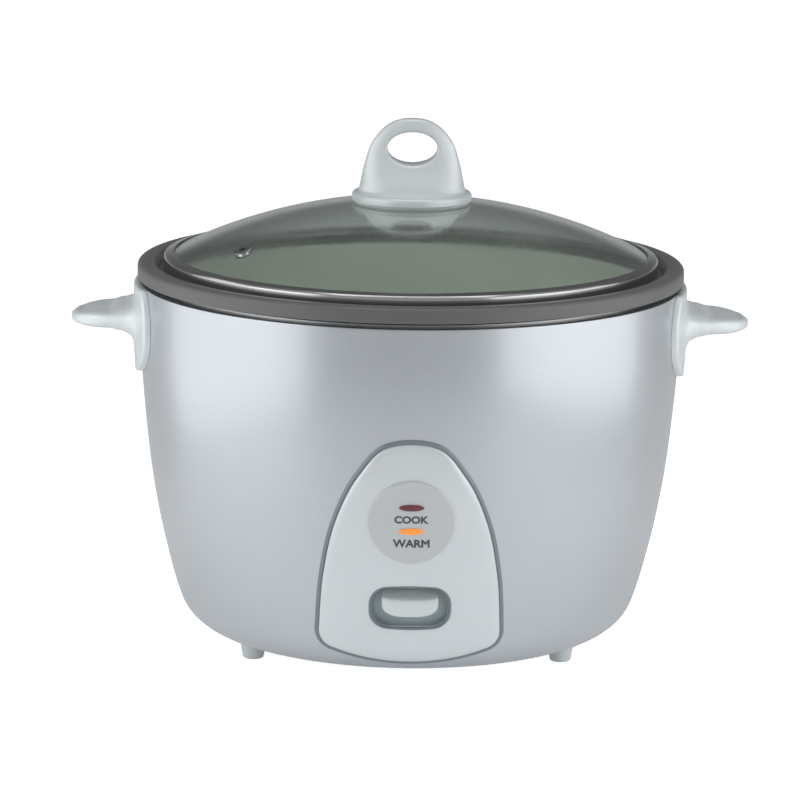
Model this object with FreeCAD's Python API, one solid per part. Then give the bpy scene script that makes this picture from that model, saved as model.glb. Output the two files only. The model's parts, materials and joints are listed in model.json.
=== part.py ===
import FreeCAD, Part
import math
import os

# Rice cooker with a glass lid, lift-out pan and front cook lever.
# Millimetres. +Z up, front towards -Y, origin on the floor under the centre of the body.

os.makedirs("parts", exist_ok=True)
V = FreeCAD.Vector
UP = V(0, 0, 1)
CLEAR = 0.3            # gap between parts that move past each other

# ---- outer body ----
BODY_TOP = 193.0
BODY_WALL = [(141.8, BODY_TOP), (141.8, 160.0), (139.4, 125.0), (135.4, 90.0), (128.7, 55.0)]
BODY_BOTTOM = 10.0
CORNER_R = 24.0
CORNER_AXIS_R = 98.0
CORNER_START = math.radians(20)
SHELL = 1.0
TOP_OPENING_R = 126.4
BOTTOM_OPENING_R = 86.0

# ---- base and feet ----
BASE_R = 92.0
BASE_THICK = 1.8
FOOT_CIRCLE_R = 93.0
FOOT_ANGLES = {"foot_front_right": -30, "foot_front_left": 210, "foot_rear": 90}
FOOT_TOP_R = 7.0
FOOT_BOTTOM_R = 5.4
POST_CIRCLE_R = 75.0
POST_ANGLES = (90, 210, 330)
POST_R = 5.0

# ---- chamber liner ----
LINER_IN_R = 125.4
LINER_WALL = 0.8
LINER_FLOOR = 44.0
LINER_CORNER_R = 22.0
LINER_LOW_R = 113.6    # inside, where the corner starts, to leave room for the cook lever
LINER_TAPER_TOP = 100.0
LINER_RIM_R = 134.0

# ---- heating plate ----
PLATE_R = 84.0
PLATE_BOTTOM = 56.0
PLATE_TOP = 72.0
PLATE_HOLE_R = 18.3
ELEMENT_RING_R = 50.0
ELEMENT_R = 4.0
TERMINAL_ANGLES = (80, 100)
TERMINAL_R = 2.6
LEG_CIRCLE_R = 68.0
LEG_ANGLES = (30, 150, 270)
LEG_R = 4.0
SHIELD_R = 78.0
SHIELD_Z = 48.5

# ---- inner pan ----
PAN_FLOOR = PLATE_TOP + CLEAR
PAN_WALL = 1.6
PAN_RIM_R = 143.5
PAN_LEDGE = 199.0
PAN_TOP = 204.0

# ---- lid ----
GLASS_R = 280.0
GLASS_TOP = 236.8
GLASS_CENTRE = GLASS_TOP - GLASS_R
GLASS_THICK = 4.0
GLASS_EDGE_R = 128.3
BAND_R = 129.8
GASKET_THICK = 1.2
KNOB_BASE_R = 31.5
KNOB_BASE_TOP = 241.0
# height of each section of the knob tab, with its half width and half thickness
KNOB_SECTIONS = [(240.0, 28.6, 16.0), (246.0, 27.0, 12.5), (252.0, 25.8, 9.0), (257.5, 24.4, 6.8),
                 (265.5, 21.7, 5.2), (271.0, 18.1, 4.6), (276.0, 12.8, 3.9), (278.6, 7.0, 2.6),
                 (279.3, 2.4, 1.2)]
KNOB_HOLE_Z = 263.7
KNOB_HOLE_A = 13.0
KNOB_HOLE_B = 8.4
VENT_X = -86.7
VENT_Y = -55.5
VENT_R = 3.2

# ---- front panel ----
PANEL_LIFT = 3.3       # how far the panel's face stands off the body
PANEL_ARCH = [(45.7, 34.0), (43.4, 67.0), (37.9, 93.5), (26.3, 118.6), (13.6, 132.7), (0.0, 135.3)]
PANEL_FOOT = (38.0, 24.6)
PANEL_FOOT_BEND = (43.6, 28.0)
PANEL_BOTTOM = 18.1
BEAD_WIDTH = 2.2
BEAD_LIFT = 1.3
DISC_Z = 95.4
DISC_R = 21.6
LENS_HALF_W = 6.3
LENS_HALF_H = 1.6
COOK_Z = 103.2
WARM_Z = 90.8

# ---- cook lever ----
RECESS_Z = 49.0
RECESS_W = 38.0
RECESS_H = 20.8
PIVOT_Y = -80.0
PIVOT_Z = 34.0
PIN_R = 2.0
ARM_HALF_W = 6.0
ARM_THICK = 2.5
BUTTON_HALF_W = 14.1
BUTTON_BOTTOM = 44.6
BUTTON_TOP = 58.0

# ---- thermostat ----
CUP_R = 16.0
CUP_WALL = 0.8
TUBE_OUT_R = 14.8
TUBE_IN_R = 13.9
TUBE_BOTTOM = 40.4
MAGNET_R = 11.3
MAGNET_TOP = 58.6
MAGNET_THICK = 8.0
ROD_R = 1.8

# ---- power inlet ----
INLET_Z = 29.0
INLET_HALF_W = 18.0
INLET_HALF_H = 10.0
INLET_FLANGE_W = 26.0
INLET_FLANGE_H = 12.5
INLET_BACK_Y = 98.0
SOCKET_DEPTH = 17.0
INLET_SCREW_X = 22.0

# ---- handles ----
HANDLE_LIFT = 3.6
HANDLE_MID_Z = 171.0
HANDLE_HALF_W = 46.0
HANDLE_DOWN = 25.5
HANDLE_RISE = 32.0
HANDLE_POWER = 2.3
EAR_ROOT_X = 145.0
EAR_TIP_X = 178.4
EAR_HALF_W = 24.0
EAR_WALL = 2.8


def rz(r, z):
    """A point of a section that is turned about the Z axis."""
    return V(r, 0, z)


def line(a, b):
    return Part.LineSegment(a, b).toShape()


def arc(a, middle, b):
    return Part.Arc(a, middle, b).toShape()


def outward(shape):
    """The shape as one or more solids with positive volume."""
    if shape.Volume < 0:
        shape.reverse()
    return shape


def one_solid(shape):
    """The only solid of a boolean result."""
    if len(shape.Solids) != 1:
        raise ValueError("expected one solid, got %d" % len(shape.Solids))
    return outward(shape.Solids[0])


def turned(edges):
    """A section of edges, closed, turned a full round about the Z axis."""
    face = Part.Face(Part.Wire(Part.__sortEdges__(edges)))
    return outward(face.revolve(V(0, 0, 0), UP, 360))


def turned_polygon(points):
    corners = [rz(r, z) for r, z in points]
    return turned([line(a, b) for a, b in zip(corners, corners[1:] + corners[:1])])


def disc(radius, z0, z1, x=0.0, y=0.0):
    return Part.makeCylinder(radius, z1 - z0, V(x, y, z0))


def ring(inner, outer, z0, z1, x=0.0, y=0.0):
    return disc(outer, z0, z1, x, y).cut(disc(inner, z0, z1, x, y))


def block(x0, x1, y0, y1, z0, z1):
    return Part.makeBox(x1 - x0, y1 - y0, z1 - z0, V(x0, y0, z0))


def around(radius, degrees):
    """The X and Y of a point on a circle about the centre."""
    turn = math.radians(degrees)
    return radius * math.cos(turn), radius * math.sin(turn)


def prism(edges, direction):
    face = Part.Face(Part.Wire(Part.__sortEdges__(edges)))
    return outward(face.extrude(direction))


def rounded_front(half_w, z0, z1, radius, y0, y1):
    """A rounded rectangle seen from the front, extruded along Y."""
    box = block(-half_w, half_w, y0, y1, z0, z1)
    along = [e for e in box.Edges if abs(e.tangentAt(e.FirstParameter).y) > 0.9]
    return box.makeFillet(radius, along)


def ellipse_front(half_w, half_h, z, y0, y1):
    """An ellipse seen from the front, extruded along Y."""
    outline = Part.Ellipse(V(half_w, y0, z), V(0, y0, z + half_h), V(0, y0, z))
    return prism([outline.toShape()], V(0, y1 - y0, 0))


def spring(radius, wire_r, z0, z1, turns, x=0.0, y=0.0):
    """A coil spring standing along Z, as half turns that tilt one way and then the other."""
    step = (z1 - z0 - 2 * wire_r) / (2 * turns)
    tilt = math.atan2(step, 2 * radius)
    coil = None
    for k in range(2 * turns):
        side = 1 if k % 2 == 0 else -1
        low = z0 + wire_r + k * step
        start = V(x + side * radius, y, low)
        middle = V(x, y, low + step / 2)
        axis = V(side * math.sin(tilt), 0, math.cos(tilt))
        section = Part.Face(Part.Wire(Part.makeCircle(wire_r, start, V(0, 1, 0))))
        half = outward(section.revolve(middle, axis, 180))
        coil = half if coil is None else coil.fuse(half)
    return coil


def save(name, shape):
    solids = [outward(solid) for solid in shape.Solids]
    whole = solids[0] if len(solids) == 1 else Part.makeCompound(solids)
    if not whole.isValid():
        raise ValueError(name + " isn't valid")
    whole.exportStep("parts/" + name + ".step")
    print("%-18s %d solid(s) %10.1f mm3" % (name, len(solids), whole.Volume))


# ---- the body's outline, and shells that follow it ----

def wall_points(offset):
    """The body wall's points and end tangents, moved outwards by offset."""
    end = (CORNER_AXIS_R + CORNER_R * math.cos(CORNER_START),
           BODY_BOTTOM + CORNER_R - CORNER_R * math.sin(CORNER_START))
    points = [rz(r, z) for r, z in BODY_WALL + [end]]
    first = V(0, 0, -1)
    last = V(-math.sin(CORNER_START), 0, -math.cos(CORNER_START))
    base = Part.BSplineCurve()
    base.interpolate(Points=points, InitialTangent=first, FinalTangent=last)
    moved = []
    for point in points:
        along = base.tangent(base.parameter(point))[0]
        moved.append(point + V(-along.z, 0, along.x) * offset)
    return moved, first, last


def body_solid(offset):
    """The body's whole outer form, grown outwards by offset, with a flat top at BODY_TOP."""
    points, first, last = wall_points(offset)
    wall = Part.BSplineCurve()
    wall.interpolate(Points=points, InitialTangent=first, FinalTangent=last)
    radius = CORNER_R + offset
    axis_z = BODY_BOTTOM + CORNER_R
    half = (CORNER_START + math.pi / 2) / 2
    middle = rz(CORNER_AXIS_R + radius * math.cos(half), axis_z - radius * math.sin(half))
    low = rz(CORNER_AXIS_R, axis_z - radius)
    edges = [line(rz(0, BODY_TOP), points[0]), wall.toShape(), arc(points[-1], middle, low),
             line(low, rz(0, axis_z - radius)), line(rz(0, axis_z - radius), rz(0, BODY_TOP))]
    return turned(edges)


def over_body(inner, outer, cutter):
    """The part of a shell round the body, between two offsets, that lies inside cutter."""
    return cutter.common(body_solid(outer)).cut(body_solid(inner))


# ---- front panel outline ----

def panel_outline(grow):
    """The arch's face at Y = -200, grown outwards by grow."""
    y = -200.0
    side = [V(x, y, z) for x, z in PANEL_ARCH]
    points = side + [V(-p.x, y, p.z) for p in reversed(side[:-1])]
    plain = Part.BSplineCurve()
    plain.interpolate(Points=points)
    moved = []
    for point in points:
        along = plain.tangent(plain.parameter(point))[0]
        moved.append(point + V(along.z, 0, -along.x) * grow)
    arch = Part.BSplineCurve()
    arch.interpolate(Points=moved)
    half, foot_z = PANEL_FOOT
    sag = foot_z - PANEL_BOTTOM
    centre = V(0, y, PANEL_BOTTOM + (half ** 2 + sag ** 2) / (2 * sag))
    foot_r = V(half, y, foot_z)
    foot_r = foot_r + (foot_r - centre).normalize() * grow
    bend_r = V(PANEL_FOOT_BEND[0], y, PANEL_FOOT_BEND[1]) + V(0.8, 0, -0.6) * grow
    foot_l = V(-foot_r.x, y, foot_r.z)
    bend_l = V(-bend_r.x, y, bend_r.z)
    edges = [arch.toShape(), arc(moved[-1], bend_l, foot_l),
             arc(foot_l, V(0, y, PANEL_BOTTOM - grow), foot_r), arc(foot_r, bend_r, moved[0])]
    return Part.Face(Part.Wire(Part.__sortEdges__(edges)))


def panel_prism(grow):
    return outward(panel_outline(grow).extrude(V(0, 110, 0)))


# ---- housing ----

def make_outer_body():
    hollow = body_solid(-SHELL).cut(block(-150, 150, -150, 150, BODY_TOP - SHELL, BODY_TOP + 1))
    body = body_solid(0).cut(hollow)
    body = body.cut(disc(TOP_OPENING_R, BODY_TOP - 5, BODY_TOP + 1))
    body = body.cut(disc(BOTTOM_OPENING_R, BODY_BOTTOM - 1, BODY_BOTTOM + 3))
    body = body.cut(block(-25, 25, -150, -100, 28, 70))
    lamp_hole = Part.makeCylinder(17, 40, V(0, -150, DISC_Z), V(0, 1, 0))
    inlet_hole = block(-INLET_HALF_W - 0.2, INLET_HALF_W + 0.2, 90, 150,
                       INLET_Z - INLET_HALF_H - 0.2, INLET_Z + INLET_HALF_H + 0.2)
    body = body.cut(lamp_hole).cut(inlet_hole)
    for x, y, z, direction in screw_places():
        body = body.cut(Part.makeCylinder(1.7, 12, V(x, y, z) - direction * 6, direction))
    for side in (-1, 1):
        body = body.cut(Part.makeCylinder(1.7, 20, V(side * INLET_SCREW_X, 110, INLET_Z), V(0, 1, 0)))
    return one_solid(body)


def screw_places():
    """Where the handle screws and panel screws cross the body wall, pointing outwards."""
    places = []
    for side in (-1, 1):
        for y in (-25, 25):
            places.append((side * 140.0, y, 155.0, V(side, 0, 0)))
    for side in (-1, 1):
        places.append((side * 34.0, -122.0, 45.0, V(0, -1, 0)))
        places.append((side * 19.0, -137.3, 120.0, V(0, -1, 0)))
    return places


def make_inner_liner():
    out_r = LINER_IN_R + LINER_WALL
    corner_z = LINER_FLOOR + LINER_CORNER_R
    low_r = LINER_LOW_R + LINER_WALL
    axis_r = low_r - LINER_CORNER_R
    rim_z = BODY_TOP
    diagonal = math.sqrt(0.5)

    def corner(radius):
        start = rz(axis_r + radius, corner_z)
        end = rz(axis_r, corner_z - radius)
        return arc(start, rz(axis_r + radius * diagonal, corner_z - radius * diagonal), end)

    floor_top = LINER_FLOOR + LINER_WALL
    edges = [line(rz(0, LINER_FLOOR), rz(axis_r, LINER_FLOOR)), corner(LINER_CORNER_R),
             line(rz(low_r, corner_z), rz(out_r, LINER_TAPER_TOP)),
             line(rz(out_r, LINER_TAPER_TOP), rz(out_r, rim_z)), line(rz(out_r, rim_z), rz(LINER_RIM_R, rim_z)),
             line(rz(LINER_RIM_R, rim_z), rz(LINER_RIM_R, rim_z + LINER_WALL)),
             line(rz(LINER_RIM_R, rim_z + LINER_WALL), rz(LINER_IN_R, rim_z + LINER_WALL)),
             line(rz(LINER_IN_R, rim_z + LINER_WALL), rz(LINER_IN_R, LINER_TAPER_TOP)),
             line(rz(LINER_IN_R, LINER_TAPER_TOP), rz(LINER_LOW_R, corner_z)),
             corner(LINER_CORNER_R - LINER_WALL), line(rz(axis_r, floor_top), rz(0, floor_top)),
             line(rz(0, floor_top), rz(0, LINER_FLOOR))]
    liner = turned(edges).cut(disc(TUBE_OUT_R, 40, 50))
    for angle in TERMINAL_ANGLES:
        x, y = around(ELEMENT_RING_R, angle)
        liner = liner.cut(disc(TERMINAL_R + 1.5, 40, 50, x, y))
    for angle in LEG_ANGLES:
        x, y = around(LEG_CIRCLE_R, angle)
        liner = liner.cut(disc(1.7, 40, 50, x, y))
    return one_solid(liner)


def make_base_plate():
    top = BODY_BOTTOM
    plate = disc(BASE_R, top - BASE_THICK, top)
    for angle in FOOT_ANGLES.values():
        x, y = around(FOOT_CIRCLE_R, angle)
        plate = plate.cut(disc(FOOT_TOP_R + 0.2, 0, 20, x, y))
    for angle in POST_ANGLES:
        x, y = around(POST_CIRCLE_R, angle)
        plate = plate.cut(disc(1.8, 0, 20, x, y))
    for row_r, count in ((28, 8), (52, 16)):
        for k in range(count):
            slot = block(row_r - 8, row_r + 8, -1.7, 1.7, 0, 20)
            slot.rotate(V(0, 0, 0), UP, 360.0 / count * (k + 0.5))
            plate = plate.cut(slot)
    return one_solid(plate)


def make_foot(angle):
    x, y = around(FOOT_CIRCLE_R, angle)
    foot = Part.makeCone(FOOT_BOTTOM_R, FOOT_TOP_R, BODY_BOTTOM, V(x, y, 0))
    low = [e for e in foot.Edges if e.BoundBox.ZMax < 0.1]
    return one_solid(foot.makeFillet(1.2, low))


def make_base_posts():
    posts = []
    for angle in POST_ANGLES:
        x, y = around(POST_CIRCLE_R, angle)
        post = disc(POST_R, BODY_BOTTOM, LINER_FLOOR, x, y)
        posts.append(post.cut(disc(1.5, BODY_BOTTOM - 1, BODY_BOTTOM + 12, x, y)))
    return Part.makeCompound(posts)


def make_base_screws():
    screws = []
    head_z = BODY_BOTTOM - BASE_THICK
    for angle in POST_ANGLES:
        x, y = around(POST_CIRCLE_R, angle)
        head = disc(3.2, head_z - 1.8, head_z, x, y)
        head = head.cut(block(x - 0.5, x + 0.5, y - 2.4, y + 2.4, head_z - 2, head_z - 0.9))
        head = head.cut(block(x - 2.4, x + 2.4, y - 0.5, y + 0.5, head_z - 2, head_z - 0.9))
        screws.append(head.fuse(disc(1.45, head_z, BODY_BOTTOM + 9, x, y)).removeSplitter())
    return Part.makeCompound(screws)


# ---- front panel ----

def lens_prism(z, grow):
    return ellipse_front(LENS_HALF_W + grow, LENS_HALF_H + grow, z, -160, -120)


def make_front_panel():
    panel = over_body(CLEAR, PANEL_LIFT, panel_prism(0))
    recess = rounded_front(RECESS_W / 2, RECESS_Z - RECESS_H / 2, RECESS_Z + RECESS_H / 2, 8.6, -160, -100)
    panel = panel.cut(recess)
    for z in (COOK_Z, WARM_Z):
        panel = panel.cut(lens_prism(z, 0.05))
    for x, y, z, direction in screw_places()[4:]:
        panel = panel.cut(Part.makeCylinder(1.5, 8, V(x, y, z) - direction * 5.6, direction))
    return one_solid(panel)


def make_panel_bead():
    form = body_solid(BEAD_LIFT).common(panel_prism(BEAD_WIDTH))
    return one_solid(form.cut(panel_prism(0.1)).cut(body_solid(0.05)))


def make_indicator_disc():
    round_bar = Part.makeCylinder(DISC_R, 40, V(0, -160, DISC_Z), V(0, 1, 0))
    plate = over_body(PANEL_LIFT, PANEL_LIFT + 0.7, round_bar)
    for z in (COOK_Z, WARM_Z):
        plate = plate.cut(lens_prism(z, 0.05))
    return one_solid(plate)


def make_lens(z):
    return one_solid(over_body(CLEAR + 0.1, PANEL_LIFT + 1.4, lens_prism(z, 0)))


def make_lamp_holder():
    holder = block(-11, 11, -134, -129, 85.5, 108.5)
    for z in (COOK_Z, WARM_Z):
        holder = holder.cut(block(-9, 9, -135, -130, z - 2.8, z + 2.8))
    return one_solid(holder)


def make_indicator_lamps():
    lamps = []
    for z in (COOK_Z, WARM_Z):
        glass = Part.makeCylinder(1.9, 15, V(-7.5, -132.0, z), V(1, 0, 0))
        lamps.append(glass.makeFillet(1.0, glass.Edges))
    return Part.makeCompound(lamps)


def wall_screw(x, y, z, direction, inset, reach):
    """A pan-head screw across the body wall: the head inside, the shank pointing outwards."""
    seat = V(x, y, z) - direction * inset
    head = Part.makeCylinder(3.2, 1.8, seat - direction * 1.8, direction)
    head = head.makeFillet(0.7, [e for e in head.Edges
                                 if abs((e.CenterOfMass - seat).dot(direction) + 1.8) < 0.01])
    return head.fuse(Part.makeCylinder(1.45, reach, seat, direction)).removeSplitter()


def make_handle_screws():
    return Part.makeCompound([wall_screw(*place, 2.4, 5.4) for place in screw_places()[:4]])


def make_panel_screws():
    return Part.makeCompound([wall_screw(*place, 3.4, 5.6) for place in screw_places()[4:]])


# ---- handles ----

def handle_outline():
    """A rounded plate outline at X = 100, as one closed curve, wider above the ear."""
    points = []
    count = 40
    for k in range(count):
        turn = 2 * math.pi * k / count
        across = math.copysign(abs(math.cos(turn)) ** (2 / HANDLE_POWER), math.cos(turn))
        up = math.copysign(abs(math.sin(turn)) ** (2 / HANDLE_POWER), math.sin(turn))
        tall = HANDLE_RISE if up > 0 else HANDLE_DOWN
        points.append(V(100, HANDLE_HALF_W * across, HANDLE_MID_Z + tall * up))
    outline = Part.BSplineCurve()
    outline.interpolate(Points=points, PeriodicFlag=True)
    return outline.toShape()


def ear_side(x_root, drop, floor):
    """The ear's side outline at Y = -60: its top runs level and then down to the tip."""
    top = Part.BSplineCurve()
    y = -60
    root_top = V(x_root, y, 180.0 - drop)
    tip = V(EAR_TIP_X, y, 173.9)
    root_low = V(x_root, y, floor)
    top.interpolate(Points=[root_top, V(158, y, 179.8 - drop), V(170, y, 178.2 - drop), tip])
    under = Part.BSplineCurve()
    under.interpolate(Points=[tip, V(176.4, y, 170.3), V(166, y, 168.7), root_low])
    return [top.toShape(), under.toShape(), line(root_low, root_top)]


def ear_plan(x_root, length, half_w):
    """Half an ellipse seen from above, as a prism about Z."""
    left = V(x_root, -half_w, 150)
    right = V(x_root, half_w, 150)
    ellipse = Part.Ellipse(V(x_root + length, 0, 150), right, V(x_root, 0, 150))
    if length < half_w:
        ellipse = Part.Ellipse(right, V(x_root + length, 0, 150), V(x_root, 0, 150))
    whole = prism([ellipse.toShape()], V(0, 0, 50))
    return whole.common(block(x_root, x_root + length, left.y, right.y, 150, 200))


def make_right_handle():
    outline = prism([handle_outline()], V(80, 0, 0))
    outline = outline.common(block(100, 200, -60, 60, 100, BODY_TOP))
    plate = over_body(CLEAR, HANDLE_LIFT, outline)
    root = EAR_ROOT_X - 6
    form = prism(ear_side(root, 0, 168.4), V(0, 120, 0))
    ear = form.common(ear_plan(root, EAR_TIP_X - root, EAR_HALF_W + 2))
    ear = ear.cut(body_solid(CLEAR + 1))
    length = EAR_TIP_X - EAR_ROOT_X - 2 - EAR_WALL
    pocket = ear_plan(EAR_ROOT_X + 3, length - 1.5, EAR_HALF_W - EAR_WALL)
    pocket = pocket.common(block(EAR_ROOT_X, 200, -60, 60, 171.4, 200))
    handle = plate.fuse(ear).cut(pocket).removeSplitter()
    for x, y, z, direction in screw_places()[2:4]:
        handle = handle.cut(Part.makeCylinder(1.5, 5.6, V(x, y, z) - direction * 2.5, direction))
    return one_solid(handle)


def make_left_handle(right):
    return outward(right.mirror(V(0, 0, 0), V(1, 0, 0)))


# ---- heating plate and what hangs under it ----

def element_ring():
    return Part.makeTorus(ELEMENT_RING_R, ELEMENT_R, V(0, 0, PLATE_BOTTOM))


def make_heating_plate():
    plate = ring(PLATE_HOLE_R, PLATE_R, PLATE_BOTTOM, PLATE_TOP)
    plate = plate.makeFillet(2.5, [e for e in plate.Edges if e.BoundBox.XLength > 2 * PLATE_R - 1])
    plate = plate.cut(ring(26, 40, PLATE_BOTTOM - 1, PLATE_BOTTOM + 8))
    plate = plate.cut(ring(59, 76, PLATE_BOTTOM - 1, PLATE_BOTTOM + 8))
    for angle in LEG_ANGLES:
        x, y = around(LEG_CIRCLE_R, angle)
        plate = plate.fuse(disc(LEG_R + 1.5, PLATE_BOTTOM, PLATE_BOTTOM + 10, x, y))
    return one_solid(plate.cut(element_ring()).removeSplitter())


def make_heating_element():
    element = element_ring()
    for angle in TERMINAL_ANGLES:
        x, y = around(ELEMENT_RING_R, angle)
        element = element.fuse(disc(TERMINAL_R, 37, PLATE_BOTTOM - 1, x, y))
    return one_solid(element.removeSplitter())


def make_heater_legs():
    legs = []
    for angle in LEG_ANGLES:
        x, y = around(LEG_CIRCLE_R, angle)
        low = LINER_FLOOR + LINER_WALL
        legs.append(ring(1.6, LEG_R, low, PLATE_BOTTOM, x, y))
    return Part.makeCompound(legs)


def make_heater_screws():
    screws = []
    for angle in LEG_ANGLES:
        x, y = around(LEG_CIRCLE_R, angle)
        head = disc(3.0, LINER_FLOOR - 1.8, LINER_FLOOR, x, y)
        shank = disc(1.45, LINER_FLOOR, PLATE_BOTTOM - 0.5, x, y)
        screws.append(head.fuse(shank).removeSplitter())
    return Part.makeCompound(screws)


def make_heat_shield():
    shield = ring(17.0, SHIELD_R, SHIELD_Z, SHIELD_Z + 0.6)
    for angle in LEG_ANGLES:
        x, y = around(LEG_CIRCLE_R, angle)
        shield = shield.cut(disc(LEG_R + 0.05, 40, 60, x, y))
    for angle in TERMINAL_ANGLES:
        x, y = around(ELEMENT_RING_R, angle)
        shield = shield.cut(disc(TERMINAL_R + 1.5, 40, 60, x, y))
    return one_solid(shield)


def make_keep_warm_band():
    out_r = LINER_IN_R + LINER_WALL
    return one_solid(ring(out_r + 0.02, out_r + 1.5, 104, 134))


def make_fuse():
    body = Part.makeCylinder(3.0, 14, V(31, 40, LINER_FLOOR - 3.9), V(1, 0, 0))
    lead = Part.makeCylinder(0.6, 30, V(23, 40, LINER_FLOOR - 3.9), V(1, 0, 0))
    return one_solid(body.fuse(lead).removeSplitter())


def make_fuse_clip():
    z = LINER_FLOOR
    outer = block(35, 41, 35.8, 44.2, z - 8.0, z)
    bore = Part.makeCylinder(3.05, 10, V(33, 40, z - 3.9), V(1, 0, 0))
    return one_solid(outer.cut(bore))


def make_terminal_block():
    z = LINER_FLOOR
    housing = block(-46, -16, 54, 68, z - 12, z)
    for k in range(3):
        x = -41.0 + 10 * k
        housing = housing.cut(Part.makeCylinder(2.2, 20, V(x, 52, z - 7), V(0, 1, 0)))
        housing = housing.cut(disc(1.8, z - 13, z - 7, x, 61))
    return one_solid(housing)


def make_thermostat_tube():
    """The guide for the sensor, with a lip for its spring and a notch that the lever's end rises into."""
    tube = ring(TUBE_IN_R, TUBE_OUT_R, TUBE_BOTTOM, 64)
    floor_top = LINER_FLOOR + LINER_WALL
    flange = ring(TUBE_IN_R, 20, floor_top, floor_top + 0.8)
    lip = ring(9, TUBE_OUT_R, TUBE_BOTTOM, TUBE_BOTTOM + 1)
    notch_w = ARM_HALF_W + 0.6
    notch = block(-notch_w, notch_w, -TUBE_OUT_R - 1, -5, TUBE_BOTTOM - 1, TUBE_BOTTOM + 1.8)
    return one_solid(tube.fuse(flange).fuse(lip).removeSplitter().cut(notch))


def make_sensor_cup():
    outer = disc(CUP_R, 52, PLATE_TOP)
    outer = outer.makeFillet(1.0, [e for e in outer.Edges if e.BoundBox.ZMin > PLATE_TOP - 0.1])
    return one_solid(outer.cut(disc(CUP_R - CUP_WALL, 51, PLATE_TOP - CUP_WALL)))


def make_sensor_ferrite():
    return ring(2.5, 14.0, 67.0, PLATE_TOP - CUP_WALL)


def make_sensor_spring():
    return one_solid(spring(12.6, 0.5, TUBE_BOTTOM + 1.1, 66.9, 5))


def make_magnet():
    return ring(2.5, MAGNET_R, MAGNET_TOP - MAGNET_THICK, MAGNET_TOP)


def make_magnet_rod():
    low = MAGNET_TOP - MAGNET_THICK
    rod = disc(ROD_R, 29.0, MAGNET_TOP - 2)
    plate = disc(MAGNET_R - 1.5, low - 1.6, low)
    above = PIVOT_Z + ARM_THICK / 2 + 0.5
    below = PIVOT_Z - ARM_THICK / 2 - 0.5
    collar = disc(3.5, above, above + 1.5)
    clip = disc(3.5, below - 1.2, below)
    return one_solid(rod.fuse(plate).fuse(collar).fuse(clip).removeSplitter())


# ---- cook lever ----

def make_lever_arm():
    low = PIVOT_Z - ARM_THICK / 2
    high = PIVOT_Z + ARM_THICK / 2
    arm = block(-ARM_HALF_W, ARM_HALF_W, -116, 6, low, high)
    arm = arm.cut(block(-2.3, 2.3, -5, 7, low - 1, high + 1))
    barrel = Part.makeCylinder(4.6, 18, V(-9, PIVOT_Y, PIVOT_Z), V(1, 0, 0))
    upright = block(-ARM_HALF_W, ARM_HALF_W, -118, -116, low, BUTTON_TOP - 2)
    tab = block(ARM_HALF_W, 29, -63, -57, low, PIVOT_Z)
    whole = arm.fuse(barrel).fuse(upright).fuse(tab)
    bore = Part.makeCylinder(PIN_R + 0.05, 20, V(-10, PIVOT_Y, PIVOT_Z), V(1, 0, 0))
    return one_solid(whole.cut(bore).removeSplitter())


def make_button_shield():
    return rounded_front(22, 33, 66, 5, -119.6, -118)


def make_lever_button():
    """The paddle: a dished top that falls forwards to a rounded front face."""
    x = -BUTTON_HALF_W
    back_y = -119.6
    back_top = V(x, back_y, BUTTON_TOP)
    lip_back = V(x, -122.5, BUTTON_TOP)
    lip_front = V(x, -131.0, 54.0)
    nose = V(x, -132.2, 52.6)
    chin = V(x, -130.4, BUTTON_BOTTOM)
    back_low = V(x, back_y, BUTTON_BOTTOM)
    edges = [line(back_low, back_top), line(back_top, lip_back),
             arc(lip_back, V(x, -126.6, 55.2), lip_front), line(lip_front, nose),
             arc(nose, V(x, -131.8, 48.4), chin), line(chin, back_low)]
    side = prism(edges, V(2 * BUTTON_HALF_W, 0, 0))
    front = rounded_front(BUTTON_HALF_W, BUTTON_BOTTOM, BUTTON_TOP + 5, 5.5, -140, -110)
    return one_solid(side.common(front))


def make_lever_bracket():
    cheeks = []
    for side in (-1, 1):
        x0, x1 = sorted((side * 9.6, side * 11.2))
        cheeks.append(block(x0, x1, -88, -72, 28, LINER_FLOOR))
    web = block(-20, 20, -88, -72, LINER_FLOOR - 1.6, LINER_FLOOR)
    bracket = cheeks[0].fuse(cheeks[1]).fuse(web)
    bore = Part.makeCylinder(PIN_R, 30, V(-15, PIVOT_Y, PIVOT_Z), V(1, 0, 0))
    return one_solid(bracket.cut(bore).removeSplitter())


def make_pivot_pin():
    pin = Part.makeCylinder(PIN_R, 25, V(-12.5, PIVOT_Y, PIVOT_Z), V(1, 0, 0))
    head = Part.makeCylinder(3.2, 1.2, V(-13.7, PIVOT_Y, PIVOT_Z), V(1, 0, 0))
    return one_solid(pin.fuse(head).removeSplitter())


def make_lever_spring():
    low = PIVOT_Z + ARM_THICK / 2
    return one_solid(spring(4.0, 0.5, low, LINER_FLOOR - 0.1, 4, 0, -45))


def make_switch_body():
    body = block(19, 33, -72, -48, 37.5, LINER_FLOOR)
    return one_solid(body.cut(block(24.4, 27.6, -61.6, -58.4, 36, 43.4)))


def make_switch_plunger():
    return block(24.5, 27.5, -61.5, -58.5, PIVOT_Z + CLEAR, 41)


# ---- power inlet ----

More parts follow.
